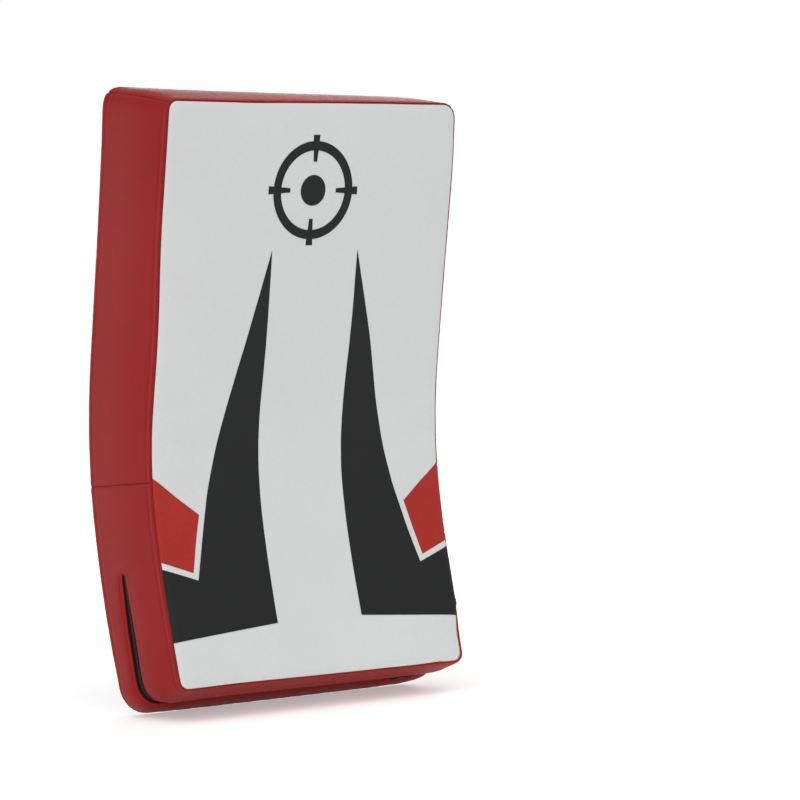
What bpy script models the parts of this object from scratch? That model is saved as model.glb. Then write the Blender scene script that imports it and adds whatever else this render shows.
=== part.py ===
"""Curved kick shield: a bent foam block in a sewn cover, with straps, a carry handle and two arm loops.

Frame: metres, +Z up, X across the width, the hollow striking face towards -Y, the handles towards +Y.
Left means -X, as seen facing the striking face. The origin is the centre of the bounding box's base.
Every soft layer follows one bent mid-line: x runs across, s runs up along it, t is the depth through the pad.
"""
import math

import bmesh
import bpy
from mathutils import Matrix, Vector

# Driving dimensions of the block
WIDTH = 0.350
THICKNESS = 0.103
LENGTH = 0.588              # along the mid-line
STATIONS = 28               # straight facets that the bend is made of
BENDS = (                   # (upper end of the zone along the mid-line, curvature in 1/m)
    (0.159, 0.89),
    (0.326, 1.92),
    (LENGTH, 0.10),
)
TOP_CORNER = 0.018
BOTTOM_CORNER = 0.032
CORNER_STEPS = 6

# Cover and foam
GAP = 0.0003                # air between touching pieces
SKIN = 0.0012               # coated fabric
FILM = 0.0008               # bonded film of the printed shapes
FOAM_INSET = 0.0027         # room for the cover and the closure tapes at the block's edge
FRONT_LAYER = 0.020
BACK_LAYER = 0.020

# Seams of the edge band, as heights along the mid-line
SEAM_HIGH = 0.212
SEAM_MIDDLE = 0.137
SEAM_LOW = 0.062

# Closure for the foam
SLIT_TOP = 0.130            # where it starts on the left side; it ends at SEAM_LOW on the right
SLIT_HALF = 0.003
TAPE = 0.0006
TAPE_WIDTH = 0.012
TAPE_OVERRUN = 0.005
COIL_HALF = 0.0022
COIL_OUTER = 0.0002         # below the band's outer face
COIL_INNER = 0.0011
COVER_TAPE = (0.006, 0.0008)            # width, thickness
TACK = (0.008, 0.009, 0.0008)           # length, width, thickness
SLIDER_X = 0.118            # closed position on the bottom end
SLIDER = (0.010, 0.008, 0.0015)         # length, width, height of its body
CROWN = (0.0068, 0.0020, 0.0026)        # the arch that holds the pull
CROWN_METAL = 0.0009
PIVOT_RISE = 0.0010         # the pull's pivot above the slider's body
PULL_LENGTH = 0.0240
PULL_WIDTH = 0.0058
PULL_METAL = 0.0009
PULL_WINDOW = (0.00045, 0.0060, 0.0030)  # start, end and width of the eye that clears the crown

# Webbing straps sewn across the back
WEBBING = 0.050
WEBBING_THICK = 0.0020
STRAPS = (("strap_top", 0.504), ("strap_middle", 0.3985), ("strap_bottom", 0.1145))

# Carry handle, an arch across the top strap
HANDLE_SPAN = 0.248
HANDLE_SHOULDER = 0.022     # run over which each end rises to its full height
HANDLE_WIDTH = 0.040
HANDLE_FOOT_WIDTH = 0.008
HANDLE_FOOT_RISE = 0.004
HANDLE_RISE = 0.018         # middle of the webbing above the strap
GRIP_SPAN = 0.186
GRIP_WIDTH = 0.045
GRIP_DEPTH = 0.015
GRIP_WALL = 0.0011
GRIP_RISE = 0.022
GRIP_ROUND = 0.005

# Arm loops, arches up the back between the middle and bottom straps
LOOP_X = 0.094
LOOP_WIDTH = 0.048
LOOP_FOOT_WIDTH = 0.008
LOOP_THICK = 0.0030
LOOP_FOOT_RISE = 0.005
LOOP_RISE = 0.026
LOOP_SHOULDER = 0.022
LOOP_CLEARANCE = 0.002      # between its ends and the straps that they are sewn under

# Printed shapes
MARK_HEIGHT = 0.503
MARK_RING = (0.039, 0.048)
MARK_TICKS = (0.028, 0.054)
MARK_TICK_HALF = 0.0035
MARK_DOT = 0.015
BACK_BARS = (("back_bar_wide", 0.4575, 0.170, 0.012), ("back_bar_thin", 0.4405, 0.170, 0.005))

FOAM_BLACK = (0.05, 0.05, 0.055)
FOAM_GREY = (0.30, 0.31, 0.33)
WHITE = (0.63, 0.66, 0.65)
RED = (0.33, 0.016, 0.018)
BLACK = (0.022, 0.023, 0.024)
PAINTED_METAL = (0.03, 0.03, 0.03)

HALF_WIDTH = WIDTH / 2
HALF_DEPTH = THICKNESS / 2
BAND_HALF = HALF_DEPTH - SKIN - GAP         # the edge band lies between the two panels
STRAP_TOP = HALF_DEPTH + GAP + WEBBING_THICK


# ---------------------------------------------------------------- the bent mid-line

def trace_midline():
    """Return (y, z, lean) at each station, starting at (0, 0) with the chord upright."""
    fine = 40
    step = LENGTH / STATIONS / fine
    rows = [(0.0, 0.0, 0.0)]
    y = z = lean = 0.0
    for i in range(STATIONS * fine):
        curvature = next(k for end, k in BENDS if (i + 0.5) * step < end)
        lean += curvature * step / 2
        y -= math.sin(lean) * step
        z += math.cos(lean) * step
        lean += curvature * step / 2
        if (i + 1) % fine == 0:
            rows.append((y, z, lean))
    tilt = math.atan2(-y, z)
    turn = Matrix.Rotation(-tilt, 2)
    return [(*(turn @ Vector((y, z))), lean - tilt) for y, z, lean in rows]


MIDLINE = trace_midline()
STATION_HEIGHTS = [LENGTH * i / STATIONS for i in range(STATIONS + 1)]


def place(x, s, t):
    """Map width x, height s along the mid-line and depth t to a point in space."""
    position = min(max(s / LENGTH, 0), 1) * STATIONS
    i = min(int(position), STATIONS - 1)
    ends = []
    for y, z, lean in MIDLINE[i:i + 2]:
        ends.append(Vector((x, y + t * math.cos(lean), z + t * math.sin(lean))))
    return ends[0].lerp(ends[1], position - i)


# ---------------------------------------------------------------- the pad's outline in x and s

def outline_points():
    """Return (x, s, normal x, normal s) round the pad, down from the high left seam and back to it."""
    points = []

    def side(sign, heights):
        points.extend((sign * HALF_WIDTH, s, sign, 0.0) for s in heights)

    def corner(sign, centre_s, radius, first, last):
        centre_x = sign * (HALF_WIDTH - radius)
        for i in range(CORNER_STEPS + 1):
            a = math.radians(first + (last - first) * i / CORNER_STEPS)
            nx, ns = math.cos(a), math.sin(a)
            points.append((centre_x + radius * nx, centre_s + radius * ns, nx, ns))

    low, high = BOTTOM_CORNER, LENGTH - TOP_CORNER
    inner = [s for s in STATION_HEIGHTS if low < s < high]
    side(-1, [SEAM_HIGH] + [s for s in reversed(inner) if s < SEAM_HIGH])
    corner(-1, low, BOTTOM_CORNER, 180, 270)
    corner(1, low, BOTTOM_CORNER, 270, 360)
    side(1, inner)
    corner(1, high, TOP_CORNER, 0, 90)
    corner(-1, high, TOP_CORNER, 90, 180)
    side(-1, [s for s in reversed(inner) if s > SEAM_HIGH] + [SEAM_HIGH])
    return points


OUTLINE = outline_points()
RUN = [0.0]                 # distance along the outline at each of its points
for before, after in zip(OUTLINE, OUTLINE[1:]):
    RUN.append(RUN[-1] + math.dist(before[:2], after[:2]))


def run_at(sign, s):
    """Distance along the outline to height s on the left (-1) or the right (1) side, below the high seam."""
    for i, (a, b) in enumerate(zip(OUTLINE, OUTLINE[1:])):
        on_side = a[0] == b[0] == sign * HALF_WIDTH
        if on_side and min(a[1], b[1]) <= s <= max(a[1], b[1]):
            return RUN[i] + (s - a[1]) / (b[1] - a[1]) * (RUN[i + 1] - RUN[i])
    raise ValueError("no side point at this height")


def run_at_top_corner(sign):
    """Distance along the outline to the middle of a rounded top corner."""
    corner = math.sqrt(0.5)
    for i, (x, s, nx, ns) in enumerate(OUTLINE):
        if s > LENGTH / 2 and abs(nx - sign * corner) < 1e-6 and abs(ns - corner) < 1e-6:
            return RUN[i]
    raise ValueError("no point in the middle of this corner")


def round_the_edge(run, t, depth):
    """Map a distance along the outline, a depth t and a distance inside the outline to a point."""
    i = min(max(sum(r <= run for r in RUN) - 1, 0), len(RUN) - 2)
    share = (run - RUN[i]) / (RUN[i + 1] - RUN[i])
    x, s, nx, ns = (a + share * (b - a) for a, b in zip(OUTLINE[i], OUTLINE[i + 1]))
    return place(x - depth * nx, s - depth * ns, t)


# ---------------------------------------------------------------- making meshes and objects

def plate(polygons, low, high, mapping, cuts=(), axis=1):
    """Join flat polygons, cut them across one axis, thicken them from low to high, bend them by mapping."""
    bm = bmesh.new()
    for polygon in polygons:
        bm.faces.new([bm.verts.new((a, b, 0)) for a, b in polygon])
    bmesh.ops.remove_doubles(bm, verts=bm.verts, dist=1e-6)
    bmesh.ops.triangulate(bm, faces=bm.faces)
    normal = [0, 0, 0]
    normal[axis] = 1
    for cut in cuts:
        geometry = bm.verts[:] + bm.edges[:] + bm.faces[:]
        point = [c * cut for c in normal]
        bmesh.ops.bisect_plane(bm, geom=geometry, dist=1e-6, plane_co=point, plane_no=normal)
    raised = bmesh.ops.extrude_face_region(bm, geom=bm.faces[:])["geom"]
    raised = {v for v in raised if isinstance(v, bmesh.types.BMVert)}
    for v in bm.verts:
        v.co = mapping(v.co.x, v.co.y, high if v in raised else low)
    bmesh.ops.recalc_face_normals(bm, faces=bm.faces)
    if bm.calc_volume(signed=True) < 0:
        bmesh.ops.reverse_faces(bm, faces=bm.faces)
    return bm


def layer(polygons, low, high):
    """A layer of the pad: polygons in (x, s) between two depths t."""
    return plate(polygons, low, high, place, STATION_HEIGHTS[1:-1])


def edge_strip(polygons, outer, inner):
    """A strip round the pad's edge: polygons in (run, t) between two distances inside the outline."""
    runs = [run for polygon in polygons for run, t in polygon]
    cuts = [run for run in RUN if min(runs) + GAP < run < max(runs) - GAP]
    return plate(polygons, outer, inner, round_the_edge, cuts, axis=0)


def rectangle(a0, a1, b0, b1):
    return [(a0, b0), (a1, b0), (a1, b1), (a0, b1)]


def grid_cells(a_values, b_values, skip=()):
    """Rectangles between neighbouring values, without the cells named in skip."""
    cells = []
    for i, (a0, a1) in enumerate(zip(a_values, a_values[1:])):
        for j, (b0, b1) in enumerate(zip(b_values, b_values[1:])):
            if (i, j) not in skip:
                cells.append(rectangle(a0, a1, b0, b1))
    return cells


def pad_outline(inset):
    """The pad's outline in (x, s), drawn in by a distance."""
    return [(x - inset * nx, s - inset * ns) for x, s, nx, ns in OUTLINE[:-1]]


def round_points(radius, count):
    return [(radius * math.cos(math.tau * i / count), radius * math.sin(math.tau * i / count))
            for i in range(count)]


def add_object(bm, name, colour, roughness, metallic=0.0):
    """Turn a bmesh into an object that has its own Principled material."""
    mesh = bpy.data.meshes.new(name)
    bm.to_mesh(mesh)
    bm.free()
    material = bpy.data.materials.new(name)
    material.use_nodes = True
    shader = material.node_tree.nodes["Principled BSDF"]
    shader.inputs["Base Color"].default_value = (*colour, 1)
    shader.inputs["Roughness"].default_value = roughness
    shader.inputs["Metallic"].default_value = metallic
    mesh.materials.append(material)
    obj = bpy.data.objects.new(name, mesh)
    bpy.context.collection.objects.link(obj)
    return obj


def add_empty(name, location):
    empty = bpy.data.objects.new(name, None)
    empty.location = location
    bpy.context.collection.objects.link(empty)
    return empty


def move_origin(obj, point):
    """Put an object's origin at a point without moving its mesh in space."""
    obj.data.transform(Matrix.Translation(-point))
    obj.location = point


# ---------------------------------------------------------------- foam, panels and printed shapes

def make_foam():
    outline = [pad_outline(FOAM_INSET)]
    back_of_front = -BAND_HALF + FRONT_LAYER
    front_of_back = BAND_HALF - BACK_LAYER
    add_object(layer(outline, -BAND_HALF, back_of_front), "foam_front_layer", FOAM_BLACK, 0.9)
    add_object(layer(outline, back_of_front + GAP, front_of_back - GAP), "foam_core_layer", FOAM_GREY, 0.9)
    add_object(layer(outline, front_of_back, BAND_HALF), "foam_back_layer", FOAM_BLACK, 0.9)


def make_panels():
    outline = [pad_outline(0)]
    add_object(layer(outline, -HALF_DEPTH, -HALF_DEPTH + SKIN), "front_panel", WHITE, 0.45)
    add_object(layer(outline, HALF_DEPTH - SKIN, HALF_DEPTH), "back_panel", WHITE, 0.45)


def bowed_line(first, last, bow, steps):
    """Points from first to last, last left out, along a parabola that bows to the left of its direction."""
    a, b = Vector(first), Vector(last)
    left = Vector((a.y - b.y, b.x - a.x)).normalized()
    shares = [i / steps for i in range(steps)]
    return [tuple(a.lerp(b, u) + left * bow * 4 * u * (1 - u)) for u in shares]


def flame_outline(sign):
    """A tall flame: a long tip between two bowed edges, and a foot with a notch at the panel's side."""
    side = HALF_WIDTH - 0.002
    tip, foot, shoulder = (0.052, 0.443), (0.052, 0.057), (0.126, 0.150)
    points = [(side, 0.048), (side, 0.123), (0.137, 0.108)]
    points += bowed_line(shoulder, tip, 0.009, 8)
    points += bowed_line(tip, foot, -0.003, 6)
    points.append(foot)
    return [(sign * x, s) for x, s in points]


def flash_outline(sign):
    """A red flash: a four-sided shape cut off by the panel's side."""
    side = HALF_WIDTH - 0.002
    points = [(side, 0.131), (side, 0.214), (0.126, 0.174), (0.141, 0.118)]
    return [(sign * x, s) for x, s in points]


def ring_cells():
    """Cells of a ring whose four ticks point across it, round its own centre."""
    inner, outer = MARK_RING
    near, far = MARK_TICKS
    arc_steps = 9
    half_angle = math.asin(MARK_TICK_HALF / outer)
    free = math.tau / 4 - 2 * half_angle
    cells = []
    for quarter in range(4):
        start = math.tau / 4 * quarter - half_angle
        angles = [start] + [start + 2 * half_angle + free * i / arc_steps for i in range(arc_steps + 1)]
        rays = [Vector((math.cos(a), math.sin(a))) for a in angles]
        for i, (a, b) in enumerate(zip(rays, rays[1:])):
            radii = [near, inner, outer, far] if i == 0 else [inner, outer]
            for r0, r1 in zip(radii, radii[1:]):
                cells.append([a * r0, a * r1, b * r1, b * r0])
    return [[(p.x, p.y + MARK_HEIGHT) for p in cell] for cell in cells]


def make_printed_shapes():
    outer = -HALF_DEPTH - GAP - FILM
    inner = -HALF_DEPTH - GAP
    for side_name, sign in (("left", -1), ("right", 1)):
        add_object(layer([flame_outline(sign)], outer, inner), "flame_" + side_name, BLACK, 0.4)
        add_object(layer([flash_outline(sign)], outer, inner), "flash_" + side_name, RED, 0.4)
    dot = [(x, s + MARK_HEIGHT) for x, s in round_points(MARK_DOT, 24)]
    add_object(layer(ring_cells(), outer, inner), "mark_ring", BLACK, 0.4)
    add_object(layer([dot], outer, inner), "mark_dot", BLACK, 0.4)
    for name, height, length, width in BACK_BARS:
        bar = rectangle(-length / 2, length / 2, height - width / 2, height + width / 2)
        add_object(layer([bar], HALF_DEPTH + GAP, HALF_DEPTH + GAP + FILM), name, BLACK, 0.4)


# ---------------------------------------------------------------- edge band and closure

def make_edge_band():
    """Six lengths of coated fabric round the edge; the lower one is slit for the closure."""
    seam = GAP / 2
    corner_right, corner_left = run_at_top_corner(1), run_at_top_corner(-1)
    lengths = (
        ("band_right_lower", run_at(1, SEAM_LOW), run_at(1, SEAM_MIDDLE)),
        ("band_right_middle", run_at(1, SEAM_MIDDLE), run_at(1, SEAM_HIGH)),
        ("band_right_upper", run_at(1, SEAM_HIGH), corner_right),
        ("band_top", corner_right, corner_left),
        ("band_left_upper", corner_left, RUN[-1]),
    )
    for name, first, last in lengths:
        strip = rectangle(first + seam, last - seam, -BAND_HALF, BAND_HALF)
        add_object(edge_strip([strip], 0, SKIN), name, RED, 0.45)
    runs = [seam, run_at(-1, SLIT_TOP), run_at(1, SEAM_LOW) - TAPE_OVERRUN, run_at(1, SEAM_LOW) - seam]
    depths = [-BAND_HALF, -SLIT_HALF, SLIT_HALF, BAND_HALF]
    add_object(edge_strip(grid_cells(runs, depths, skip={(1, 1)}), 0, SKIN), "band_lower", RED, 0.45)


def make_closure():
    start, end = run_at(-1, SLIT_TOP), run_at(1, SEAM_LOW) - TAPE_OVERRUN
    tape_outer = SKIN + GAP
    for name, near, far in (("closure_tape_front", -TAPE_WIDTH, -GAP / 2),
                            ("closure_tape_back", GAP / 2, TAPE_WIDTH)):
        strip = rectangle(start - TAPE_OVERRUN, end + TAPE_OVERRUN, near, far)
        add_object(edge_strip([strip], tape_outer, tape_outer + TAPE), name, BLACK, 0.8)
    coil = rectangle(start + GAP, end - GAP, -COIL_HALF, COIL_HALF)
    add_object(edge_strip([coil], COIL_OUTER, COIL_INNER), "closure_coil", BLACK, 0.5)

    length, width, thickness = TACK
    tack = rectangle(start - length, start, -width / 2, width / 2)
    add_object(edge_strip([tack], -GAP - thickness, -GAP), "closure_start_tack", RED, 0.7)
    width, thickness = COVER_TAPE
    middle = run_at(1, SEAM_LOW)
    tape = rectangle(middle - width / 2, middle + width / 2, -BAND_HALF, BAND_HALF)
    add_object(edge_strip([tape], -GAP - thickness, -GAP), "closure_end_tape", BLACK, 0.7)


def block(length, width, low, high):
    """A block round the Z axis."""
    return plate([rectangle(-length / 2, length / 2, -width / 2, width / 2)], low, high,
                 lambda a, b, level: Vector((a, b, level)))


def make_slider_and_pull():
    """The slider lies on the bottom end: its own X runs along the closure, its own Z points outwards."""
    along = Vector((1, 0, 0))
    depth = (place(0, 0, HALF_DEPTH) - place(0, 0, 0)).normalized()
    outwards = depth.cross(along)
    turn = Matrix((along, outwards.cross(along), outwards)).transposed().to_euler()

    length, width, height = SLIDER
    slider = add_object(block(length, width, GAP, GAP + height), "closure_slider", PAINTED_METAL, 0.35, 0.9)
    slider.location = place(SLIDER_X, 0, 0)
    slider.rotation_euler = turn

    half, root, top = CROWN[0] / 2, GAP + height / 2, GAP + height + CROWN[2]
    inner_half, ceiling = half - CROWN_METAL, top - CROWN_METAL
    arch = [(-half, root), (-half, top), (half, top), (half, root), (inner_half, root),
            (inner_half, ceiling), (-inner_half, ceiling), (-inner_half, root)]
    crown_mesh = plate([arch], -CROWN[1] / 2, CROWN[1] / 2, lambda a, b, level: Vector((a, level, b)))
    crown = add_object(crown_mesh, "slider_crown_guide", PAINTED_METAL, 0.35, 0.9)
    crown.parent = slider
    crown.hide_render = True
    crown.display_type = "WIRE"
    union = slider.modifiers.new("crown", "BOOLEAN")
    union.operation = "UNION"
    union.object = crown

    window_start, window_end, window_width = PULL_WINDOW
    rows = [-PULL_METAL / 2, window_start, window_end, PULL_LENGTH]
    columns = [-PULL_WIDTH / 2, -window_width / 2, window_width / 2, PULL_WIDTH / 2]
    cells = grid_cells(rows, columns, skip={(1, 1)})
    mesh = plate(cells, -PULL_METAL / 2, PULL_METAL / 2, lambda a, b, level: Vector((a, b, level)))
    pull = add_object(mesh, "closure_pull", PAINTED_METAL, 0.35, 0.9)
    pull.parent = slider
    pull.location = (0, 0, GAP + height + PIVOT_RISE)


# ---------------------------------------------------------------- webbing, handle and loops

def make_straps():
    for name, height in STRAPS:
        strap = rectangle(-HALF_WIDTH, HALF_WIDTH, height - WEBBING / 2, height + WEBBING / 2)
        add_object(layer([strap], HALF_DEPTH + GAP, STRAP_TOP), name, BLACK, 0.85)


def arch_outline(half_span, shoulder, foot_width, width):
    """Outline of a strip whose ends narrow to their sewn feet, lengthways along the first axis."""
    flat = half_span - shoulder
    upper = [(half_span, foot_width / 2), (flat, width / 2), (-flat, width / 2), (-half_span, foot_width / 2)]
    return upper + [(a, -b) for a, b in reversed(upper)]


def arch_rise(distance, half_span, shoulder, foot_rise, rise):
    """Height of an arch at a distance from its middle."""
    share = min(max((half_span - abs(distance)) / shoulder, 0), 1)
    return foot_rise + (rise - foot_rise) * share


def rounded_section(width, depth, radius):
    """A rectangle with rounded corners, round its own centre."""
    steps = 4
    points = []
    for corner, (sign_a, sign_b) in enumerate(((1, 1), (-1, 1), (-1, -1), (1, -1))):
        for i in range(steps + 1):
            angle = math.tau / 4 * (corner + i / steps)
            points.append((sign_a * (width / 2 - radius) + radius * math.cos(angle),
                           sign_b * (depth / 2 - radius) + radius * math.sin(angle)))
    return points


def make_carry_handle():
    """Webbing that arches off the top strap, with foam on it and a fabric sleeve round both."""
    height = dict(STRAPS)["strap_top"]
    half_span = HANDLE_SPAN / 2

    def over_strap(x, across, rise):
        return place(x, height + across, STRAP_TOP + rise)

    def webbing(x, across, level):
        rise = arch_rise(x, half_span, HANDLE_SHOULDER, HANDLE_FOOT_RISE, HANDLE_RISE)
        return over_strap(x, across, rise + level)

    flat = half_span - HANDLE_SHOULDER
    outline = arch_outline(half_span, HANDLE_SHOULDER, HANDLE_FOOT_WIDTH, HANDLE_WIDTH)
    strip = plate([outline], -WEBBING_THICK / 2, WEBBING_THICK / 2, webbing, (-flat, flat), axis=0)
    filler_low = HANDLE_RISE + WEBBING_THICK / 2 + GAP
    filler_high = GRIP_RISE + GRIP_DEPTH / 2 - GRIP_WALL - GAP
    filler_outline = rectangle(-GRIP_SPAN / 2, GRIP_SPAN / 2, -HANDLE_WIDTH / 2, HANDLE_WIDTH / 2)
    filler = plate([filler_outline], filler_low, filler_high, over_strap)

    outer = rounded_section(GRIP_WIDTH, GRIP_DEPTH, GRIP_ROUND)
    inner = rounded_section(HANDLE_WIDTH + 2 * GAP, GRIP_DEPTH - 2 * GRIP_WALL, GAP)
    cells = [[outer[i - 1], outer[i], inner[i], inner[i - 1]] for i in range(len(outer))]
    sleeve = plate(cells, -GRIP_SPAN / 2, GRIP_SPAN / 2,
                   lambda across, rise, x: over_strap(x, across, GRIP_RISE + rise))

    axis = add_empty("carry_handle_axis", over_strap(0, 0, 0))
    pieces = (add_object(strip, "carry_handle_webbing", BLACK, 0.85),
              add_object(filler, "carry_handle_filler", FOAM_GREY, 0.9),
              add_object(sleeve, "carry_handle_sleeve", BLACK, 0.8))
    for obj in pieces:
        move_origin(obj, axis.location)
        obj.location = (0, 0, 0)
        obj.parent = axis


def make_arm_loops():
    """Two webbing arches sewn under the middle and bottom straps, each turning about its sewn ends."""
    heights = dict(STRAPS)
    top = heights["strap_middle"] - WEBBING / 2 - LOOP_CLEARANCE
    bottom = heights["strap_bottom"] + WEBBING / 2 + LOOP_CLEARANCE
    middle, half_span = (top + bottom) / 2, (top - bottom) / 2
    outline = arch_outline(half_span, LOOP_SHOULDER, LOOP_FOOT_WIDTH, LOOP_WIDTH)
    cuts = [s - middle for s in STATION_HEIGHTS if bottom < s < top]
    cuts += [half_span - LOOP_SHOULDER, LOOP_SHOULDER - half_span]
    for name, x in (("arm_loop_left", -LOOP_X), ("arm_loop_right", LOOP_X)):

        def over_back(along, across, level):
            rise = arch_rise(along, half_span, LOOP_SHOULDER, LOOP_FOOT_RISE, LOOP_RISE)
            return place(x + across, middle + along, HALF_DEPTH + rise + level)

        strip = plate([outline], -LOOP_THICK / 2, LOOP_THICK / 2, over_back, sorted(cuts), axis=0)
        loop = add_object(strip, name, BLACK, 0.85)
        move_origin(loop, place(x, bottom, HALF_DEPTH))


# ---------------------------------------------------------------- the whole shield

def stand_on_origin():
    """Hang everything from one empty, placed so that the bounding box's base is centred on the origin."""
    bpy.context.view_layer.update()
    meshes = [obj for obj in bpy.data.objects if obj.type == "MESH" and not obj.hide_render]
    corners = [obj.matrix_world @ Vector(corner) for obj in meshes for corner in obj.bound_box]
    low = Vector([min(c[i] for c in corners) for i in range(3)])
    high = Vector([max(c[i] for c in corners) for i in range(3)])
    roots = [obj for obj in bpy.data.objects if obj.parent is None]
    base = add_empty("shield_base", (-(low.x + high.x) / 2, -(low.y + high.y) / 2, -low.z))
    for obj in roots:
        obj.parent = base
    bpy.context.view_layer.update()
    return base


def main():
    for obj in list(bpy.data.objects):
        bpy.data.objects.remove(obj, do_unlink=True)
    make_foam()
    make_panels()
    make_printed_shapes()
    make_edge_band()
    make_closure()
    make_slider_and_pull()
    make_straps()
    make_carry_handle()
    make_arm_loops()
    return stand_on_origin()


main()
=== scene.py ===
"""A curved kick shield, dressed: bent foam in a sewn red and white cover, with webbing on its back.

Metres, +Z up, the hollow striking face towards -Y. Every soft layer follows one bent mid-line:
x runs across, s up along the line, and t is the depth through the pad, negative at the striking face.
"""
import math

import bmesh
import bpy
import numpy as np
from mathutils import Matrix, Vector


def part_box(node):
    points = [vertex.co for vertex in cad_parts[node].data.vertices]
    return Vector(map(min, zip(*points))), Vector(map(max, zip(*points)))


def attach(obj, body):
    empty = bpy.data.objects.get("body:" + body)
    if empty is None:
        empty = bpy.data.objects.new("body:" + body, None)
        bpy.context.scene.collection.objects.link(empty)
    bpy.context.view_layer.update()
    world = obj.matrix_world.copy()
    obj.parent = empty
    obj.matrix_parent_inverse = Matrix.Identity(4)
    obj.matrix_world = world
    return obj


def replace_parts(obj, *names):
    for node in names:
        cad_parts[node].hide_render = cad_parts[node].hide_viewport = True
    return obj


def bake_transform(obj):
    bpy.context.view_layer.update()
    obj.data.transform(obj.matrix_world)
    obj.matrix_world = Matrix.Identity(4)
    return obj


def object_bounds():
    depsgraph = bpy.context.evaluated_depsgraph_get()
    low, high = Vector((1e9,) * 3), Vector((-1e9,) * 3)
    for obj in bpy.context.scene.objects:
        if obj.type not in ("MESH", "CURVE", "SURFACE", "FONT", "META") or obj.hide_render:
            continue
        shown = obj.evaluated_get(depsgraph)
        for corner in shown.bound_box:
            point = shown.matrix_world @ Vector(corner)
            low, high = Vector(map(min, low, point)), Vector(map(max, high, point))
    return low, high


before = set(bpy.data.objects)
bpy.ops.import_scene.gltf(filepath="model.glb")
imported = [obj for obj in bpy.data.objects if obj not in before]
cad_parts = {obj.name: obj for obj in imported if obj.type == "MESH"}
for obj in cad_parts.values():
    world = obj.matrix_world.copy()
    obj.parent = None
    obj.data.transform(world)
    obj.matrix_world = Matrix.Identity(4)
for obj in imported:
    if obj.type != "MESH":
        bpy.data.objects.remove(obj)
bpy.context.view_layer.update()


# ------------------------------------------------------------------ camera
# A long lens a few steps away, a little to the left of the shield and level with its middle.
# The shield stands left of the middle of the view.

lens = bpy.data.cameras.new("studio_camera")
lens.lens, lens.sensor_width, lens.clip_end = 149.2, 36, 100
camera = bpy.data.objects.new("studio_camera", lens)
bpy.context.collection.objects.link(camera)
bpy.context.scene.camera = camera
turned, raised, rolled = math.radians(-39.07), math.radians(1.90), math.radians(-1.20)
back = Vector((math.sin(turned) * math.cos(raised), -math.cos(turned) * math.cos(raised), math.sin(raised)))
level = Vector((math.cos(turned), math.sin(turned), 0))
upright = back.cross(level)
middle = Vector((0, -0.0142, 0.3056))
camera.matrix_world = Matrix.Translation(middle + back * 3.2742 + level * 0.120 - upright * 0.010) @ Matrix((
    level * math.cos(rolled) + upright * math.sin(rolled),
    upright * math.cos(rolled) - level * math.sin(rolled),
    back)).transposed().to_4x4()


# ------------------------------------------------------------------ foam block
# Three glued layers of foam, stiff ones behind each panel and a soft one between them,
# cut to the bent shape of the pad. The cover hides them.

WIDTH, LENGTH, THICKNESS = 0.350, 0.588, 0.103
HALF, DEEP = WIDTH / 2, THICKNESS / 2
SEAMS = (0.062, 0.137, 0.212)                   # heights of the cross seams of the edge band

fine_s = np.linspace(-0.04, LENGTH + 0.04, 669)
bend_rate = np.interp(fine_s, (0.129, 0.189, 0.296, 0.356), (0.89, 1.92, 1.92, 0.10))


def summed(values):
    """Running integral along the mid-line, zero at its lower end."""
    total = np.concatenate(([0], np.cumsum((values[1:] + values[:-1]) / 2 * np.diff(fine_s))))
    return total - np.interp(0, fine_s, total)


fine_lean = summed(bend_rate)
fine_y, fine_z = summed(-np.sin(fine_lean)), summed(np.cos(fine_lean))
tilt = math.atan2(-np.interp(LENGTH, fine_s, fine_y), np.interp(LENGTH, fine_s, fine_z))
fine_y, fine_z = (math.cos(tilt) * fine_y + math.sin(tilt) * fine_z,
                  math.cos(tilt) * fine_z - math.sin(tilt) * fine_y)
fine_lean = fine_lean - tilt


def bend(x, s, t, home=(0, 0)):
    """Points in space for x across, s up the mid-line and depth t. All three may be arrays."""
    x, s, t = np.broadcast_arrays(*(np.asarray(v, float) for v in (x, s, t)))
    lean = np.interp(s, fine_s, fine_lean)
    y = np.interp(s, fine_s, fine_y) + t * np.cos(lean) + home[0]
    z = np.interp(s, fine_s, fine_z) + t * np.sin(lean) + home[1]
    return np.stack([x, y, z], -1)


dot_low, dot_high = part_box("mark_dot")
dot_middle = (dot_low + dot_high) / 2
bare = bend(0, 0.503, -DEEP - 0.0007)
HOME = (dot_middle.y - bare[1], dot_middle.z - bare[2])

# how far each corner of a seam is drawn in: across, towards the middle of the pad's depth,
# and how far into the band the pull is felt
CORNER_PULLS = (
    (-1, 0, -1, 0.0000, 0.0015, 0.010), (1, 0, -1, 0.0065, 0.0060, 0.0035),
    (-1, 1, -1, 0.0000, 0.0010, 0.010), (1, 1, -1, 0.0005, 0.0040, 0.010),
    (-1, 0, 1, 0.0025, 0.0030, 0.010), (1, 0, 1, 0.0010, 0.0020, 0.010),
    (-1, 1, 1, -0.0012, -0.0010, 0.012), (1, 1, 1, 0.0020, 0.0020, 0.010),
)


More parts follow.
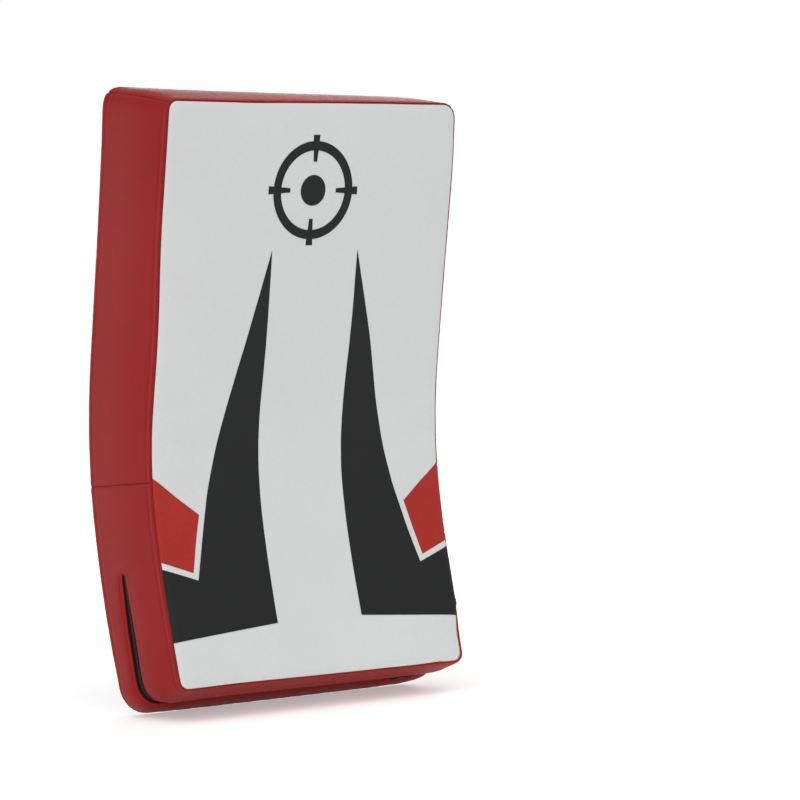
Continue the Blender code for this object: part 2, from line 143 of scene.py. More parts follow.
def sewn(x, s, t):
    """Like bend, after the cover has been sewn: its corners drawn in, and its sides a little off true."""
    x, s, t = (np.array(v, float) for v in np.broadcast_arrays(x, s, t))
    side, rear = x / HALF, np.clip(0.5 + 0.5 * t / DEEP, 0, 1)
    left, right, front = np.clip(-side, 0, 1) ** 2, np.clip(side, 0, 1) ** 2, 1 - rear
    high = np.exp(-(LENGTH - s) / 0.050)
    across = 0.0026 * right * front + 0.0045 * left * front * np.exp(-((s - 0.345) / 0.085) ** 2)
    across -= left * rear * (0.0034 * np.exp(-((LENGTH - s) / 0.12) ** 2) + 0.0036 * np.exp(-(s / 0.035) ** 2))
    along = high * (0.0022 * front * np.clip(0.5 + side, 0, 1) - rear * (0.0022 + 0.0022 * side))
    along -= 0.0016 * front * np.exp(-s / 0.05) * np.clip(0.5 + side, 0, 1)
    through = np.zeros(x.shape)
    for sign, end, face, in_across, in_deep, felt in CORNER_PULLS:
        far = np.hypot(x - sign * HALF, s - end * LENGTH)
        share = np.exp(-(far / 0.042) ** 2 - np.maximum(DEEP - face * t, 0) / felt)
        across -= sign * in_across * share
        along += (1 - 2 * end) * in_across * 0.35 * share
        through -= face * in_deep * share
    return bend(x + across, s + along, t + through, HOME)


CORNER_STEPS, END_STEPS, SIDE_STEPS = 5, 66, (8, 16, 16, 80)


def outline(radii, inset=0.0, steps=(CORNER_STEPS, END_STEPS, SIDE_STEPS)):
    """Rows of x, s and outward normal round the pad, from the middle of its low left corner to the right.

    radii are the corners' own, in the same order: low left, low right, high right, high left.
    """
    corner, end, side = steps
    half, low, high = HALF - inset, inset, LENGTH - inset
    ll, lr, hr, hl = (radius - inset for radius in radii)
    rows = []

    def arc(sign, s, radius, first, last, count):
        for a in np.radians(np.linspace(first, last, count + 1)[:-1]):
            rows.append((sign * (half - radius) + radius * math.cos(a), s + radius * math.sin(a),
                         math.cos(a), math.sin(a)))

    def straight(start, stop, count, normal):
        for u in np.linspace(0, 1, count + 1)[:-1]:
            rows.append((start[0] + u * (stop[0] - start[0]), start[1] + u * (stop[1] - start[1]), *normal))

    arc(-1, low + ll, ll, 225, 270, corner)
    straight((ll - half, low), (half - lr, low), end, (0, -1))
    arc(1, low + lr, lr, 270, 360, 2 * corner)
    heights = [low + lr, *SEAMS, high - hr]
    for a, b, count in zip(heights, heights[1:], side):
        straight((half, a), (half, b), count, (1, 0))
    arc(1, high - hr, hr, 0, 90, 2 * corner)
    straight((half - hr, high), (hl - half, high), end, (0, 1))
    arc(-1, high - hl, hl, 90, 180, 2 * corner)
    heights = [high - hl, *SEAMS[::-1], low + ll]
    for a, b, count in zip(heights, heights[1:], side[::-1]):
        straight((-half, a), (-half, b), count, (-1, 0))
    arc(-1, low + ll, ll, 180, 225, corner)
    return np.array(rows)


def corner_radii(t):
    """Radii of the four corners at a depth, softest where the closure turns the low left one."""
    depths = (-DEEP, -0.030, 0.0, DEEP)
    return [np.interp(t, depths, radii) for radii in (
        (0.0090, 0.016, 0.020, 0.024), (0.0100, 0.0130, 0.0140, 0.0105),
        (0.0150, 0.0160, 0.0180, 0.0180), (0.0095, 0.0125, 0.0150, 0.0175))]


def filled(ring, across, up):
    """A grid of (x, s) that fills a ring, whose lower run has as many steps as across and side runs as up."""
    low, right = ring[:across + 1], ring[across:across + up + 1]
    high = ring[across + up:2 * across + up + 1][::-1]
    left = np.concatenate([ring[2 * across + up:], ring[:1]])[::-1]

    def share(a, b):
        far = [np.concatenate(([0], np.cumsum(np.hypot(*np.diff(c, axis=0).T)))) for c in (a, b)]
        return (far[0] / far[0][-1] + far[1] / far[1][-1]) / 2

    u, v = share(low, high)[:, None, None], share(left, right)[None, :, None]
    return ((1 - v) * low[:, None] + v * high[:, None] + (1 - u) * left[None] + u * right[None]
            - (1 - u) * (1 - v) * low[0] - u * (1 - v) * low[-1] - (1 - u) * v * high[0] - u * v * high[-1])


def sheet_cells(count, across, up, rings, start=0, inner=None):
    """Quads of a panel: rings of count points from the edge inwards, and the grid inside the last ring."""
    cells = []
    for k in range(rings - 1):
        for i in range(count):
            j = (i + 1) % count
            cells.append((start + k * count + i, start + k * count + j,
                          start + (k + 1) * count + j, start + (k + 1) * count + i))
    last = start + (rings - 1) * count
    inner = start + rings * count if inner is None else inner

    def at(i, j):
        if j == 0:
            return last + i
        if i == across:
            return last + across + j
        if j == up:
            return last + across + up + (across - i)
        if i == 0:
            return last + (2 * across + up + (up - j)) % count
        return inner + (i - 1) * (up - 1) + j - 1

    for i in range(across):
        for j in range(up):
            cells.append((at(i, j), at(i + 1, j), at(i + 1, j + 1), at(i, j + 1)))
    return cells


def sheet_points(radii, insets, steps):
    """The (x, s) points that go with sheet_cells, and the number of points in a ring and along its sides."""
    corner, end, side = steps
    across, up = 2 * corner + end, 2 * corner + sum(side)
    rings = [outline(radii, inset, steps)[:, :2] for inset in insets]
    grid = filled(rings[-1], across, up)[1:-1, 1:-1].reshape(-1, 2)
    return np.concatenate([*rings, grid]), len(rings[0]), across, up


def make_piece(name, points, cells, material, smooth=True, **marks):
    """A mesh object from points, faces and named attributes, one value or vector for each point."""
    mesh = bpy.data.meshes.new(name)
    mesh.from_pydata([tuple(p) for p in np.asarray(points)], [], [tuple(c) for c in cells])
    mesh.validate()
    mesh.materials.append(material)
    if smooth:
        mesh.shade_smooth()
        mesh.set_sharp_from_angle(angle=math.radians(50))
    for key, values in marks.items():
        values = np.asarray(values, np.float32)
        kind = "FLOAT" if values.ndim == 1 else "FLOAT_VECTOR"
        layer = mesh.attributes.new(key, kind, "POINT")
        layer.data.foreach_set("value" if kind == "FLOAT" else "vector", values.ravel())
    piece = bpy.data.objects.new(name, mesh)
    bpy.context.collection.objects.link(piece)
    return piece


class Paint:
    """A socket of a material's nodes. Sums and products of them add Math nodes."""

    def __init__(self, tree, socket):
        self.tree, self.socket = tree, socket

    def node(self, kind, out=0, sets=None, **values):
        """Add a node: sets are its settings, values are its sockets' values or links, by name."""
        made = self.tree.nodes.new("ShaderNode" + kind)
        for key, value in (sets or {}).items():
            if key == "stops":
                ramp = made.color_ramp
                while len(ramp.elements) < len(value):
                    ramp.elements.new(0.5)
                for element, (place, shade) in zip(ramp.elements, value):
                    element.position = place
                    element.color = (shade, shade, shade, 1) if isinstance(shade, float) else (*shade, 1)
            else:
                setattr(made, key, value)
        for key, value in values.items():
            name = key.replace("_", " ")
            free = [s for s in made.inputs if s.name == name and s.enabled]
            socket = free[0] if free else made.inputs[int(key[1:])]
            if isinstance(value, Paint):
                self.tree.links.new(value.socket, socket)
            elif isinstance(value, tuple) and len(value) == 3 and socket.type == "RGBA":
                socket.default_value = (*value, 1)
            else:
                socket.default_value = value
        shown = [s for s in made.outputs if s.enabled]
        return Paint(self.tree, shown[out] if isinstance(out, int) else made.outputs[out])

    def math(self, operation, *values):
        return self.node("Math", sets={"operation": operation}, **{f"i{i}": v for i, v in enumerate(values)})

    def __add__(self, other):
        return self.math("ADD", self, other)

    def __sub__(self, other):
        return self.math("SUBTRACT", self, other)

    def __rsub__(self, other):
        return self.math("SUBTRACT", other, self)

    def __mul__(self, other):
        return self.math("MULTIPLY", self, other)

    __radd__, __rmul__ = __add__, __mul__

    def wave(self):
        return self.math("SINE", self)

    def band(self, low, high, to_low=0.0, to_high=1.0):
        """This value stretched from low..high to another range, and held at its ends."""
        return self.node("MapRange", sets={"clamp": True}, Value=self, From_Min=low, From_Max=high,
                         To_Min=to_low, To_Max=to_high)

    def scaled(self, *factors):
        """This vector, each axis times its own factor."""
        return self.node("VectorMath", sets={"operation": "MULTIPLY"}, i0=self, i1=tuple(factors))

    def noise(self, scale, detail=2.0, roughness=0.5):
        return self.node("TexNoise", Vector=self, Scale=scale, Detail=detail, Roughness=roughness)

    def mixed(self, first, second):
        """A colour between first and second, by this value."""
        return self.node("Mix", out=0, sets={"data_type": "RGBA"}, Factor=self, A=first, B=second)


def new_material(name, **constants):
    """A Principled material. Returns it, its shader node and a Paint to start its nodes from."""
    material = bpy.data.materials.new(name)
    material.use_nodes = True
    shader = material.node_tree.nodes["Principled BSDF"]
    for key, value in constants.items():
        shader.inputs[key.replace("_", " ")].default_value = value
    return material, shader, Paint(material.node_tree, None)


def coat(material, shader, **links):
    """Link finished values to the shader's sockets."""
    for key, value in links.items():
        material.node_tree.links.new(value.socket, shader.inputs[key.replace("_", " ")])
    return material


def foam(name, dark, light):
    """Open foam: small pores of two sizes in a matte body, the pores painted darker as painted shade."""
    material, shader, start = new_material(name, Roughness=0.95, Specular_IOR_Level=0.2)
    place = start.node("TexCoord", out="Object")
    pores = start.node("TexVoronoi", Vector=place, Scale=420.0)
    small = start.node("TexVoronoi", Vector=place, Scale=1100.0)
    holes = pores.band(0.1, 0.55) * small.band(0.0, 0.4)
    relief = start.node("Bump", Height=holes, Strength=0.8, Distance=0.0008)
    # painted shade: the pores take the dark colour, the body between them the light one
    return coat(material, shader, Base_Color=holes.mixed(dark, light), Normal=relief)


stiff_foam = foam("stiff_foam", (0.012, 0.012, 0.013), (0.055, 0.055, 0.06))
soft_foam = foam("soft_foam", (0.11, 0.115, 0.125), (0.32, 0.33, 0.35))
foam_steps = (2, 22, (3, 5, 5, 26))
for node, low, high, material, slot in (
        ("foam_front_layer", -0.0482, -0.0290, stiff_foam, "foam_dense"),
        ("foam_core_layer", -0.0287, 0.0287, soft_foam, "foam_soft"),
        ("foam_back_layer", 0.0290, 0.0482, stiff_foam, "foam_dense")):
    flat, count, across, up = sheet_points((0.034, 0.020, 0.022, 0.024), (0.0065, 0.009, 0.012), foam_steps)
    cells = sheet_cells(count, across, up, 3)
    size = len(flat)
    solid = [(a + size, b + size, c + size, d + size) for a, b, c, d in cells]
    solid += [cell[::-1] for cell in cells]
    solid += [(i, (i + 1) % count, (i + 1) % count + size, i + size) for i in range(count)]
    points = np.concatenate([sewn(flat[:, 0], flat[:, 1], low), sewn(flat[:, 0], flat[:, 1], high)])
    slab = make_piece(node + "_cut", points, [c[::-1] for c in solid], material)
    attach(slab, "pad")
    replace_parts(slab, node)


# ------------------------------------------------------------------ white panels
# Two panels of smooth coated fabric, drawn tight over the foam. Each is sewn to the edge band face to
# face and turned, so it swells a little and rolls over into its seam all the way round.

CLOTH = 0.0012
ROOT = 0.0006                                   # how deep the seams lie below the cover
BAND_LEVELS = 13
cover_steps = (3, 34, (4, 9, 9, 42))
levels = np.linspace(-DEEP, DEEP, BAND_LEVELS)
level_rings = [outline(corner_radii(t), 0, cover_steps) for t in levels]
ring_size = len(level_rings[0])
cover_across, cover_up = 2 * 3 + 34, 2 * 3 + 64
panel_grids = [filled(level_rings[k][:, :2], cover_across, cover_up) for k in (0, -1)]


def blown_up():
    """How far foam pushes each point of the whole cover out, held at its seams: a cloth simulation."""
    points = [sewn(ring[:, 0], ring[:, 1], t) for ring, t in zip(level_rings, levels)]
    for grid, t in zip(panel_grids, (-DEEP, DEEP)):
        inside = grid[1:-1, 1:-1].reshape(-1, 2)
        points.append(sewn(inside[:, 0], inside[:, 1], t))
    rest = np.concatenate(points)
    last = (BAND_LEVELS - 1) * ring_size
    inner = BAND_LEVELS * ring_size
    cells = sheet_cells(ring_size, cover_across, cover_up, 1, 0, inner)
    far = sheet_cells(ring_size, cover_across, cover_up, 1, last, inner + (cover_across - 1) * (cover_up - 1))
    cells += [cell[::-1] for cell in far]
    for k in range(BAND_LEVELS - 1):
        for i in range(ring_size):
            a, b = k * ring_size + i, k * ring_size + (i + 1) % ring_size
            cells.append((b, a, a + ring_size, b + ring_size))
    mesh = bpy.data.meshes.new("cover")
    mesh.from_pydata([tuple(p) for p in rest], [], cells)
    cover = bpy.data.objects.new("cover", mesh)
    bpy.context.collection.objects.link(cover)
    held = cover.vertex_groups.new(name="seams")
    held.add([*range(ring_size), *range(last, last + ring_size)], 1.0, "REPLACE")
    heights, sides = level_rings[0][:, 1], level_rings[0][:, 0]
    cross = [i for i in range(ring_size) if min(abs(heights[i] - s) for s in SEAMS) < 1e-4
             and (sides[i] > 0 or abs(heights[i] - SEAMS[2]) < 1e-4)]
    held.add([k * ring_size + i for k in range(1, BAND_LEVELS - 1) for i in cross], 0.9, "REPLACE")
    cloth = cover.modifiers.new("cloth", "CLOTH")
    cloth.settings.quality = 4
    cloth.settings.mass = 0.3
    cloth.settings.tension_stiffness = cloth.settings.compression_stiffness = 20
    cloth.settings.shear_stiffness = 8
    cloth.settings.bending_stiffness = 2
    cloth.settings.use_pressure = True
    cloth.settings.uniform_pressure_force = 4
    cloth.settings.vertex_group_mass = "seams"
    cloth.settings.effector_weights.gravity = 0
    cloth.collision_settings.use_collision = False
    for step in range(1, 17):
        bpy.context.scene.frame_set(step)
    shown = cover.evaluated_get(bpy.context.evaluated_depsgraph_get())
    moved = np.zeros(len(rest) * 3)
    shown.data.vertices.foreach_get("co", moved)
    bpy.data.objects.remove(cover)
    bpy.context.scene.frame_set(1)
    return moved.reshape(-1, 3) - rest, rest


push, cover_rest = blown_up()


def through(s):
    """Unit vectors through the pad's depth at heights s."""
    lean = np.interp(s, fine_s, fine_lean)
    return np.stack([np.zeros(np.shape(lean)), np.cos(lean), np.sin(lean)], -1)


def eased(value, most):
    """Values that rise freely at first and never pass most."""
    return most * np.tanh(np.maximum(value, 0) / most)


panel_swell = []
for face, grid in enumerate(panel_grids):
    start = BAND_LEVELS * ring_size + face * (cover_across - 1) * (cover_up - 1)
    part = push[start:start + (cover_across - 1) * (cover_up - 1)]
    part = part.reshape(cover_across - 1, cover_up - 1, 3)
    outward = (part * through(grid[1:-1, 1:-1, 1])).sum(-1) * (-1, 1)[face]
    swell = np.zeros(grid.shape[:2])
    swell[1:-1, 1:-1] = eased(outward, 0.0030)
    panel_swell.append((grid[:, cover_up // 2, 0], grid[cover_across // 2, :, 1], swell))


def looked_up(table, x, s):
    """Values of a (columns, rows, values) table at x and s, between its points in straight lines."""
    columns, rows, values = table
    i = np.clip(np.searchsorted(columns, x) - 1, 0, len(columns) - 2)
    j = np.clip(np.searchsorted(rows, s) - 1, 0, len(rows) - 2)
    u = np.clip((x - columns[i]) / (columns[i + 1] - columns[i]), 0, 1)
    v = np.clip((s - rows[j]) / (rows[j + 1] - rows[j]), 0, 1)
    return ((1 - u) * (1 - v) * values[i, j] + u * (1 - v) * values[i + 1, j]
            + (1 - u) * v * values[i, j + 1] + u * v * values[i + 1, j + 1])


def inside(x, s, t):
    """Distance from the pad's outline at depth t, inwards."""
    ll, lr, hr, hl = corner_radii(t)
    radius = np.where(s < LENGTH / 2, np.where(x < 0, ll, lr), np.where(x < 0, hl, hr))
    a, b = np.abs(x) - (HALF - radius), np.abs(s - LENGTH / 2) - (LENGTH / 2 - radius)
    out = np.hypot(np.maximum(a, 0), np.maximum(b, 0)) + np.minimum(np.maximum(a, b), 0)
    return radius - out


STRAP_HEIGHTS = {"strap_top": 0.504, "strap_middle": 0.3985, "strap_bottom": 0.1145}
STRAP_WIDTH = 0.050


def panel_height(x, s, face):
    """How far a panel's outer side stands off the plane of its seam."""
    x, s = np.broadcast_arrays(np.asarray(x, float), np.asarray(s, float))
    clear = inside(x, s, face * DEEP)
    uneven = (np.sin(x * 31 + s * 19 + face) * np.sin(s * 43 - x * 12 + 2 * face)
              + 0.6 * np.sin(x * 71 - s * 37) * np.sin(s * 83 + x * 29 + face))
    swell = 0.0010 + 0.75 * looked_up(panel_swell[(face + 1) // 2], x, s) + 0.00022 * uneven
    if face > 0:
        for height in STRAP_HEIGHTS.values():
            far = np.abs(s - height) - STRAP_WIDTH / 2
            swell = swell * (1 - 0.62 / (1 + np.exp(far / 0.0030)))
    roll = 1 - np.clip((clear - ROOT) / 0.0085, 0, 1)
    return (swell + ROOT) * np.sqrt(1 - roll ** 2) - ROOT


def on_front(x, s, lift=0.0):
    return sewn(x, s, -DEEP - panel_height(x, s, -1) - lift)


def on_back(x, s, lift=0.0):
    return sewn(x, s, DEEP + panel_height(x, s, 1) + lift)


def thickened(outer, inner, cells):
    """Close a sheet given as matching outer and inner points: its cells, their backs and its rim."""
    size = len(outer)
    solid = list(cells) + [tuple(i + size for i in cell[::-1]) for cell in cells]
    edges = {}
    for cell in cells:
        for a, b in zip(cell, cell[1:] + cell[:1]):
            if (b, a) in edges:
                del edges[b, a]
            else:
                edges[a, b] = True
    solid += [(b, a, a + size, b + size) for a, b in edges]
    return np.concatenate([outer, inner]), solid


def coated_fabric(name, light, dark, deep, roughness):
    """Coated fabric: a fine pebble grain over slow unevenness, and painted shade darkening it in its seam grooves."""
    material, shader, start = new_material(name, Specular_IOR_Level=0.15)
    place = start.node("TexCoord", out="Object")
    pebbles = start.node("TexVoronoi", Vector=place, Scale=950.0).band(0.0, 0.7)
    cloud = place.noise(9.0, 3.0)
    fine = place.noise(260.0, 3.0)
    seam = start.node("Attribute", out="Fac", sets={"attribute_name": "seam"})
    tone = (cloud * 0.6 + fine * 0.4).band(0.36, 0.66).mixed(dark, light)
    # painted shade: near the seams the colour is mixed towards the deep colour, for shade in the seam grooves
    tone = seam.band(0.25, 1.0).mixed(tone, deep)
    gloss = fine.band(0.35, 0.65, roughness - 0.05, roughness + 0.05)
    relief = start.node("Bump", Height=pebbles * 0.35 + cloud * 8.0 + fine * 0.5, Strength=0.22,
                        Distance=0.0004)
    return coat(material, shader, Base_Color=tone, Roughness=gloss, Normal=relief)


# the third colour is the painted shade of the white panels' seam grooves
white_cover = coated_fabric("white_cover", (0.782, 0.804, 0.794), (0.745, 0.769, 0.762),
                            (0.46, 0.26, 0.27), 0.42)
panel_steps = (CORNER_STEPS, END_STEPS, SIDE_STEPS)
for node, face in (("front_panel", -1), ("back_panel", 1)):
    insets = (ROOT, 0.0008, 0.0012, 0.0019, 0.0029, 0.0043, 0.0060, 0.0082)
    flat, count, across, up = sheet_points(corner_radii(face * DEEP), insets, panel_steps)
    x, s = flat.T
    cells = sheet_cells(count, across, up, len(insets))
    if face > 0:
        cells = [cell[::-1] for cell in cells]
    height = panel_height(x, s, face)
    outer = sewn(x, s, face * (DEEP + height))
    inner = sewn(x, s, face * (DEEP + height - CLOTH))
    points, solid = thickened(outer, inner, cells)
    # seam marks where painted shade darkens the panel, beside its seam
    seam = np.tile(np.exp(-(inside(x, s, face * DEEP) - ROOT) / 0.0007), 2)
    panel = make_piece(node + "_sewn", points, solid, white_cover, seam=seam)
    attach(panel, "pad")
    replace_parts(panel, node)


# ------------------------------------------------------------------ red edge band
# Six lengths of coated fabric sewn end to end round the foam. Both long edges are turned in against the
# panels, which leaves a firm ridge beside each seam. The lower length is slit for the closure.

columns = np.array([0, 0.4, 0.9, 1.5, 2.2, 3.0, 4.0, 5.2, 6.2, 7.2, 8.6, 11, 15, 20, 26, 33, 42]) / 1000
band_depths = np.concatenate([columns, [DEEP], THICKNESS - columns[::-1]]) - DEEP
band_rings = np.stack([outline(corner_radii(t)) for t in band_depths])
ring_count = band_rings.shape[1]
middle_ring = np.concatenate([band_rings[len(columns)], band_rings[len(columns)][:1]])
reach = np.concatenate(([0], np.cumsum(np.hypot(*np.diff(middle_ring[:, :2], axis=0).T))))
AROUND = reach[-1]

cover_middle = level_rings[BAND_LEVELS // 2]
cover_middle = np.concatenate([cover_middle, cover_middle[:1]])
cover_reach = np.concatenate(([0], np.cumsum(np.hypot(*np.diff(cover_middle[:, :2], axis=0).T))))
band_push = push[:BAND_LEVELS * ring_size].reshape(BAND_LEVELS, ring_size, 3)
normals = np.stack([(sewn(r[:, 0] + r[:, 2] * 0.001, r[:, 1] + r[:, 3] * 0.001, t)
                     - sewn(r[:, 0], r[:, 1], t)) * 1000 for r, t in zip(level_rings, levels)])
band_swell = eased((band_push * normals).sum(-1), 0.0032)
band_swell = np.concatenate([band_swell, band_swell[:, :1]], 1)
band_table = (levels, cover_reach / cover_reach[-1] * AROUND, band_swell)

high_end, left_end = 2 * CORNER_STEPS + END_STEPS, 2 * CORNER_STEPS + sum(SIDE_STEPS)
right_foot = 3 * CORNER_STEPS + END_STEPS
left_head = 2 * high_end + left_end + CORNER_STEPS
RIGHT_LOW, RIGHT_MIDDLE, RIGHT_HIGH = (reach[right_foot + sum(SIDE_STEPS[:k])] for k in (1, 2, 3))
RIGHT_CORNER, LEFT_CORNER = reach[high_end + left_end], reach[2 * high_end + left_end]
LEFT_HIGH = reach[left_head + SIDE_STEPS[3]]
LEFT_LOW = reach[left_head + sum(SIDE_STEPS[1:])]
SLIT_START = LEFT_LOW - (0.126 - SEAMS[0])
SLIT_END = RIGHT_LOW + AROUND


def slit_middle(run):
    """Depth of the middle of the slit: behind the middle on the left side, before it on the right."""
    return (np.interp(run - SLIT_START, (0, 0.03, 0.10, 0.130, 0.168), (0.0085, 0.0115, 0.0125, 0.0100, 0))
            + np.interp(SLIT_END - run, (0.0, 0.045, 0.075), (-0.0100, -0.0020, 0)))


def slit_half(run):
    """Half the width of the slit in the lower length, at a distance round the edge."""
    below = run - SLIT_START
    opening = np.interp(below, (0.0, 0.020, 0.055, 0.110, 0.190, 0.30), (3.1, 4.2, 6.0, 5.8, 4.2, 3.4)) / 1000
    return opening * np.sqrt(np.clip(below / 0.0012, 0, 1))


def band_surface(run, column, t=None, ends=(-9.0, 9.0), lift=0.0):
    """Points on the band at a distance round the edge and a column of its depths."""
    run, column = np.broadcast_arrays(run, column)
    t = band_depths[column] if t is None else t
    spot = np.interp(run % AROUND, reach, np.arange(ring_count + 1))
    i = spot.astype(int) % ring_count
    share = (spot - spot.astype(int))[..., None]
    row = (1 - share) * band_rings[column, i] + share * band_rings[column, (i + 1) % ring_count]
    from_seam = DEEP - np.abs(t)
    ridge = np.sqrt(1 - (1 - np.clip(from_seam / 0.0024, 0, 1)) ** 2)
    out = -ROOT + (ROOT + 0.0010) * ridge - 0.0005 * np.exp(-((from_seam - 0.0064) / 0.0012) ** 2)
    out = out + 0.0021 * np.sin(np.clip(from_seam / DEEP, 0, 1) * math.pi / 2) ** 2
    out = out + 0.60 * looked_up(band_table, t, run % AROUND)
    under = np.clip((run - SLIT_START - 0.10) / 0.05, 0, 1) * np.clip((SLIT_END - run - 0.03) / 0.03, 0, 1)
    zipped = np.clip((run - SLIT_START) / 0.03, 0, 1) * (run < SLIT_END + 0.001)
    out = out - (0.0020 * zipped + 0.0020 * under) * np.exp(-((t - slit_middle(run)) / 0.010) ** 2)
    puckers = np.sin(run * 410 + 3 * np.sin(run * 37)) * np.sin(run * 173 + t * 60)
    out = out + 0.00016 * puckers * np.exp(-from_seam / 0.016) * ridge
    for sign, end in zip((1, -1), ends):
        gap = np.maximum(sign * (run - end), 0)
        out = out - 0.0007 * np.exp(-gap / 0.0007) + 0.0003 * np.exp(-((gap - 0.0035) / 0.0020) ** 2)
    out = out + lift
    return sewn(row[..., 0] + row[..., 2] * out, row[..., 1] + row[..., 3] * out, t)


def stepped(first, last, fine=(0.0, 0.0004, 0.0009, 0.0016, 0.0026, 0.004, 0.0065), step=0.0042):
    """Distances from first to last, closer together near both ends."""
    near = first + np.array(fine)
    far = last - np.array(fine)[::-1]
    between = np.linspace(near[-1], far[0], max(2, round((far[0] - near[-1]) / step) + 1))[1:-1]
    return np.concatenate([near, between, far])


# the third colour is the painted shade of the band's seam grooves
red_cover = coated_fabric("red_cover", (0.385, 0.0150, 0.0145), (0.340, 0.0125, 0.0120),
                          (0.200, 0.008, 0.010), 0.40)
last_column = len(band_depths) - 1
half_column = len(columns)
for node, first, last in (
        ("band_right_lower", RIGHT_LOW, RIGHT_MIDDLE), ("band_right_middle", RIGHT_MIDDLE, RIGHT_HIGH),
        ("band_right_upper", RIGHT_HIGH, RIGHT_CORNER), ("band_top", RIGHT_CORNER, LEFT_CORNER),
        ("band_left_upper", LEFT_CORNER, LEFT_HIGH), ("band_lower", LEFT_HIGH, RIGHT_LOW + AROUND)):
    runs = stepped(first, last)
    slit = node == "band_lower"
    if slit:
        runs = np.sort(np.concatenate([runs, SLIT_START + np.array((0.0002, 0.0006, 0.0012, 0.002, 0.003))]))
    column = np.arange(last_column + 1)
    depths = np.tile(band_depths, (len(runs), 1))
    if slit:
        column = np.sort(np.append(column, half_column))
        depths = np.tile(band_depths[column], (len(runs), 1))
        half, centre = slit_half(runs)[:, None] + 0.0001, slit_middle(runs)[:, None]
        sides = np.where(np.arange(len(column)) <= half_column, -1, 1)[None]
        lips = centre + sides * half
        depths = lips + (sides * DEEP - lips) * np.abs(depths) / DEEP
    grid = [band_surface(runs[:, None], column[None], depths, (first, last), -depth) for depth in (0, CLOTH)]
    if slit:
        lip = np.exp(-np.abs(depths - lips) / 0.0012) * (half > 0.0005)
        inwards = (grid[1] - grid[0]) / CLOTH * 0.0010
        grid = [g + inwards * lip[..., None] for g in grid]
    wide = len(column)
    cells = [(a * wide + b + 1, a * wide + b, (a + 1) * wide + b, (a + 1) * wide + b + 1)
             for a in range(len(runs) - 1) for b in range(wide - 1)
             if not (slit and b == half_column and runs[a + 1] > SLIT_START + 0.0001)]
    points, solid = thickened(grid[0].reshape(-1, 3), grid[1].reshape(-1, 3), cells)
    # seam marks where painted shade darkens the band, beside the panel seams and the ends of each length
    beside = np.minimum(DEEP - np.abs(depths), np.minimum(runs - first, last - runs)[:, None])
    seam = np.tile(np.exp(-beside.ravel() / 0.0006), 2)
    length = make_piece(node + "_sewn", points, solid, red_cover, seam=seam)
    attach(length, "pad")
    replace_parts(length, node)


# ------------------------------------------------------------------ printed shapes
# Flexible ink film bonded to the panels: black flames and red flashes on the striking face, with a plain
# ring and dot to aim at, and two plain bars on the back. The print sits a little off the middle.

PRINT = 0.00035
SIDE = HALF - ROOT - 0.0002


def ink(name, light, dark, roughness):
    """Satin ink film: slow changes of tone, and the fabric's grain just showing through."""
    material, shader, start = new_material(name, Specular_IOR_Level=0.22)
    place = start.node("TexCoord", out="Object")
    cloud, fine = place.noise(14.0, 3.0), place.noise(420.0, 2.0)
    tone = (cloud * 0.5 + fine * 0.5).band(0.35, 0.65).mixed(dark, light)
    relief = start.node("Bump", Height=fine + cloud * 6.0, Strength=0.18, Distance=0.0003)
    return coat(material, shader, Base_Color=tone, Normal=relief,
                Roughness=fine.band(0.3, 0.7, roughness - 0.04, roughness + 0.06))


def leaning(points):
    """The upper part of the print on the striking face sits a little to the right."""
    shifts = [min(max((s - 0.20) / 0.18, 0), 1) for x, s in points]
    return [(x + 0.0081 * u * u * (3 - 2 * u), s) for (x, s), u in zip(points, shifts)]


def flowing(points, step):
    """A smooth line through points, sampled about every step, and its direction at each sample."""
    points = np.array(points, float)
    padded_points = np.concatenate([[2 * points[0] - points[1]], points, [2 * points[-1] - points[-2]]])
    line = []
    for a, b, c, d in zip(padded_points, padded_points[1:], padded_points[2:], padded_points[3:]):
        count = max(2, round(np.linalg.norm(c - b) / step))
        for u in np.arange(count) / count:
            line.append(0.5 * (2 * b + (c - a) * u + (2 * a - 5 * b + 4 * c - d) * u ** 2
                               + (3 * b - a - 3 * c + d) * u ** 3))
    line = np.array([*line, points[-1]])
    ahead = np.gradient(line, axis=0)
    return line, ahead / np.linalg.norm(ahead, axis=1)[:, None]


def bowed(first, last, bow, steps):
    """Points from first to last, last left out, along a curve that bows to the left of its direction."""
    a, b = Vector(first), Vector(last)
    left = Vector((a.y - b.y, b.x - a.x)).normalized()
    return [tuple(a.lerp(b, i / steps) + left * bow * 4 * (i / steps) * (1 - i / steps)) for i in range(steps)]


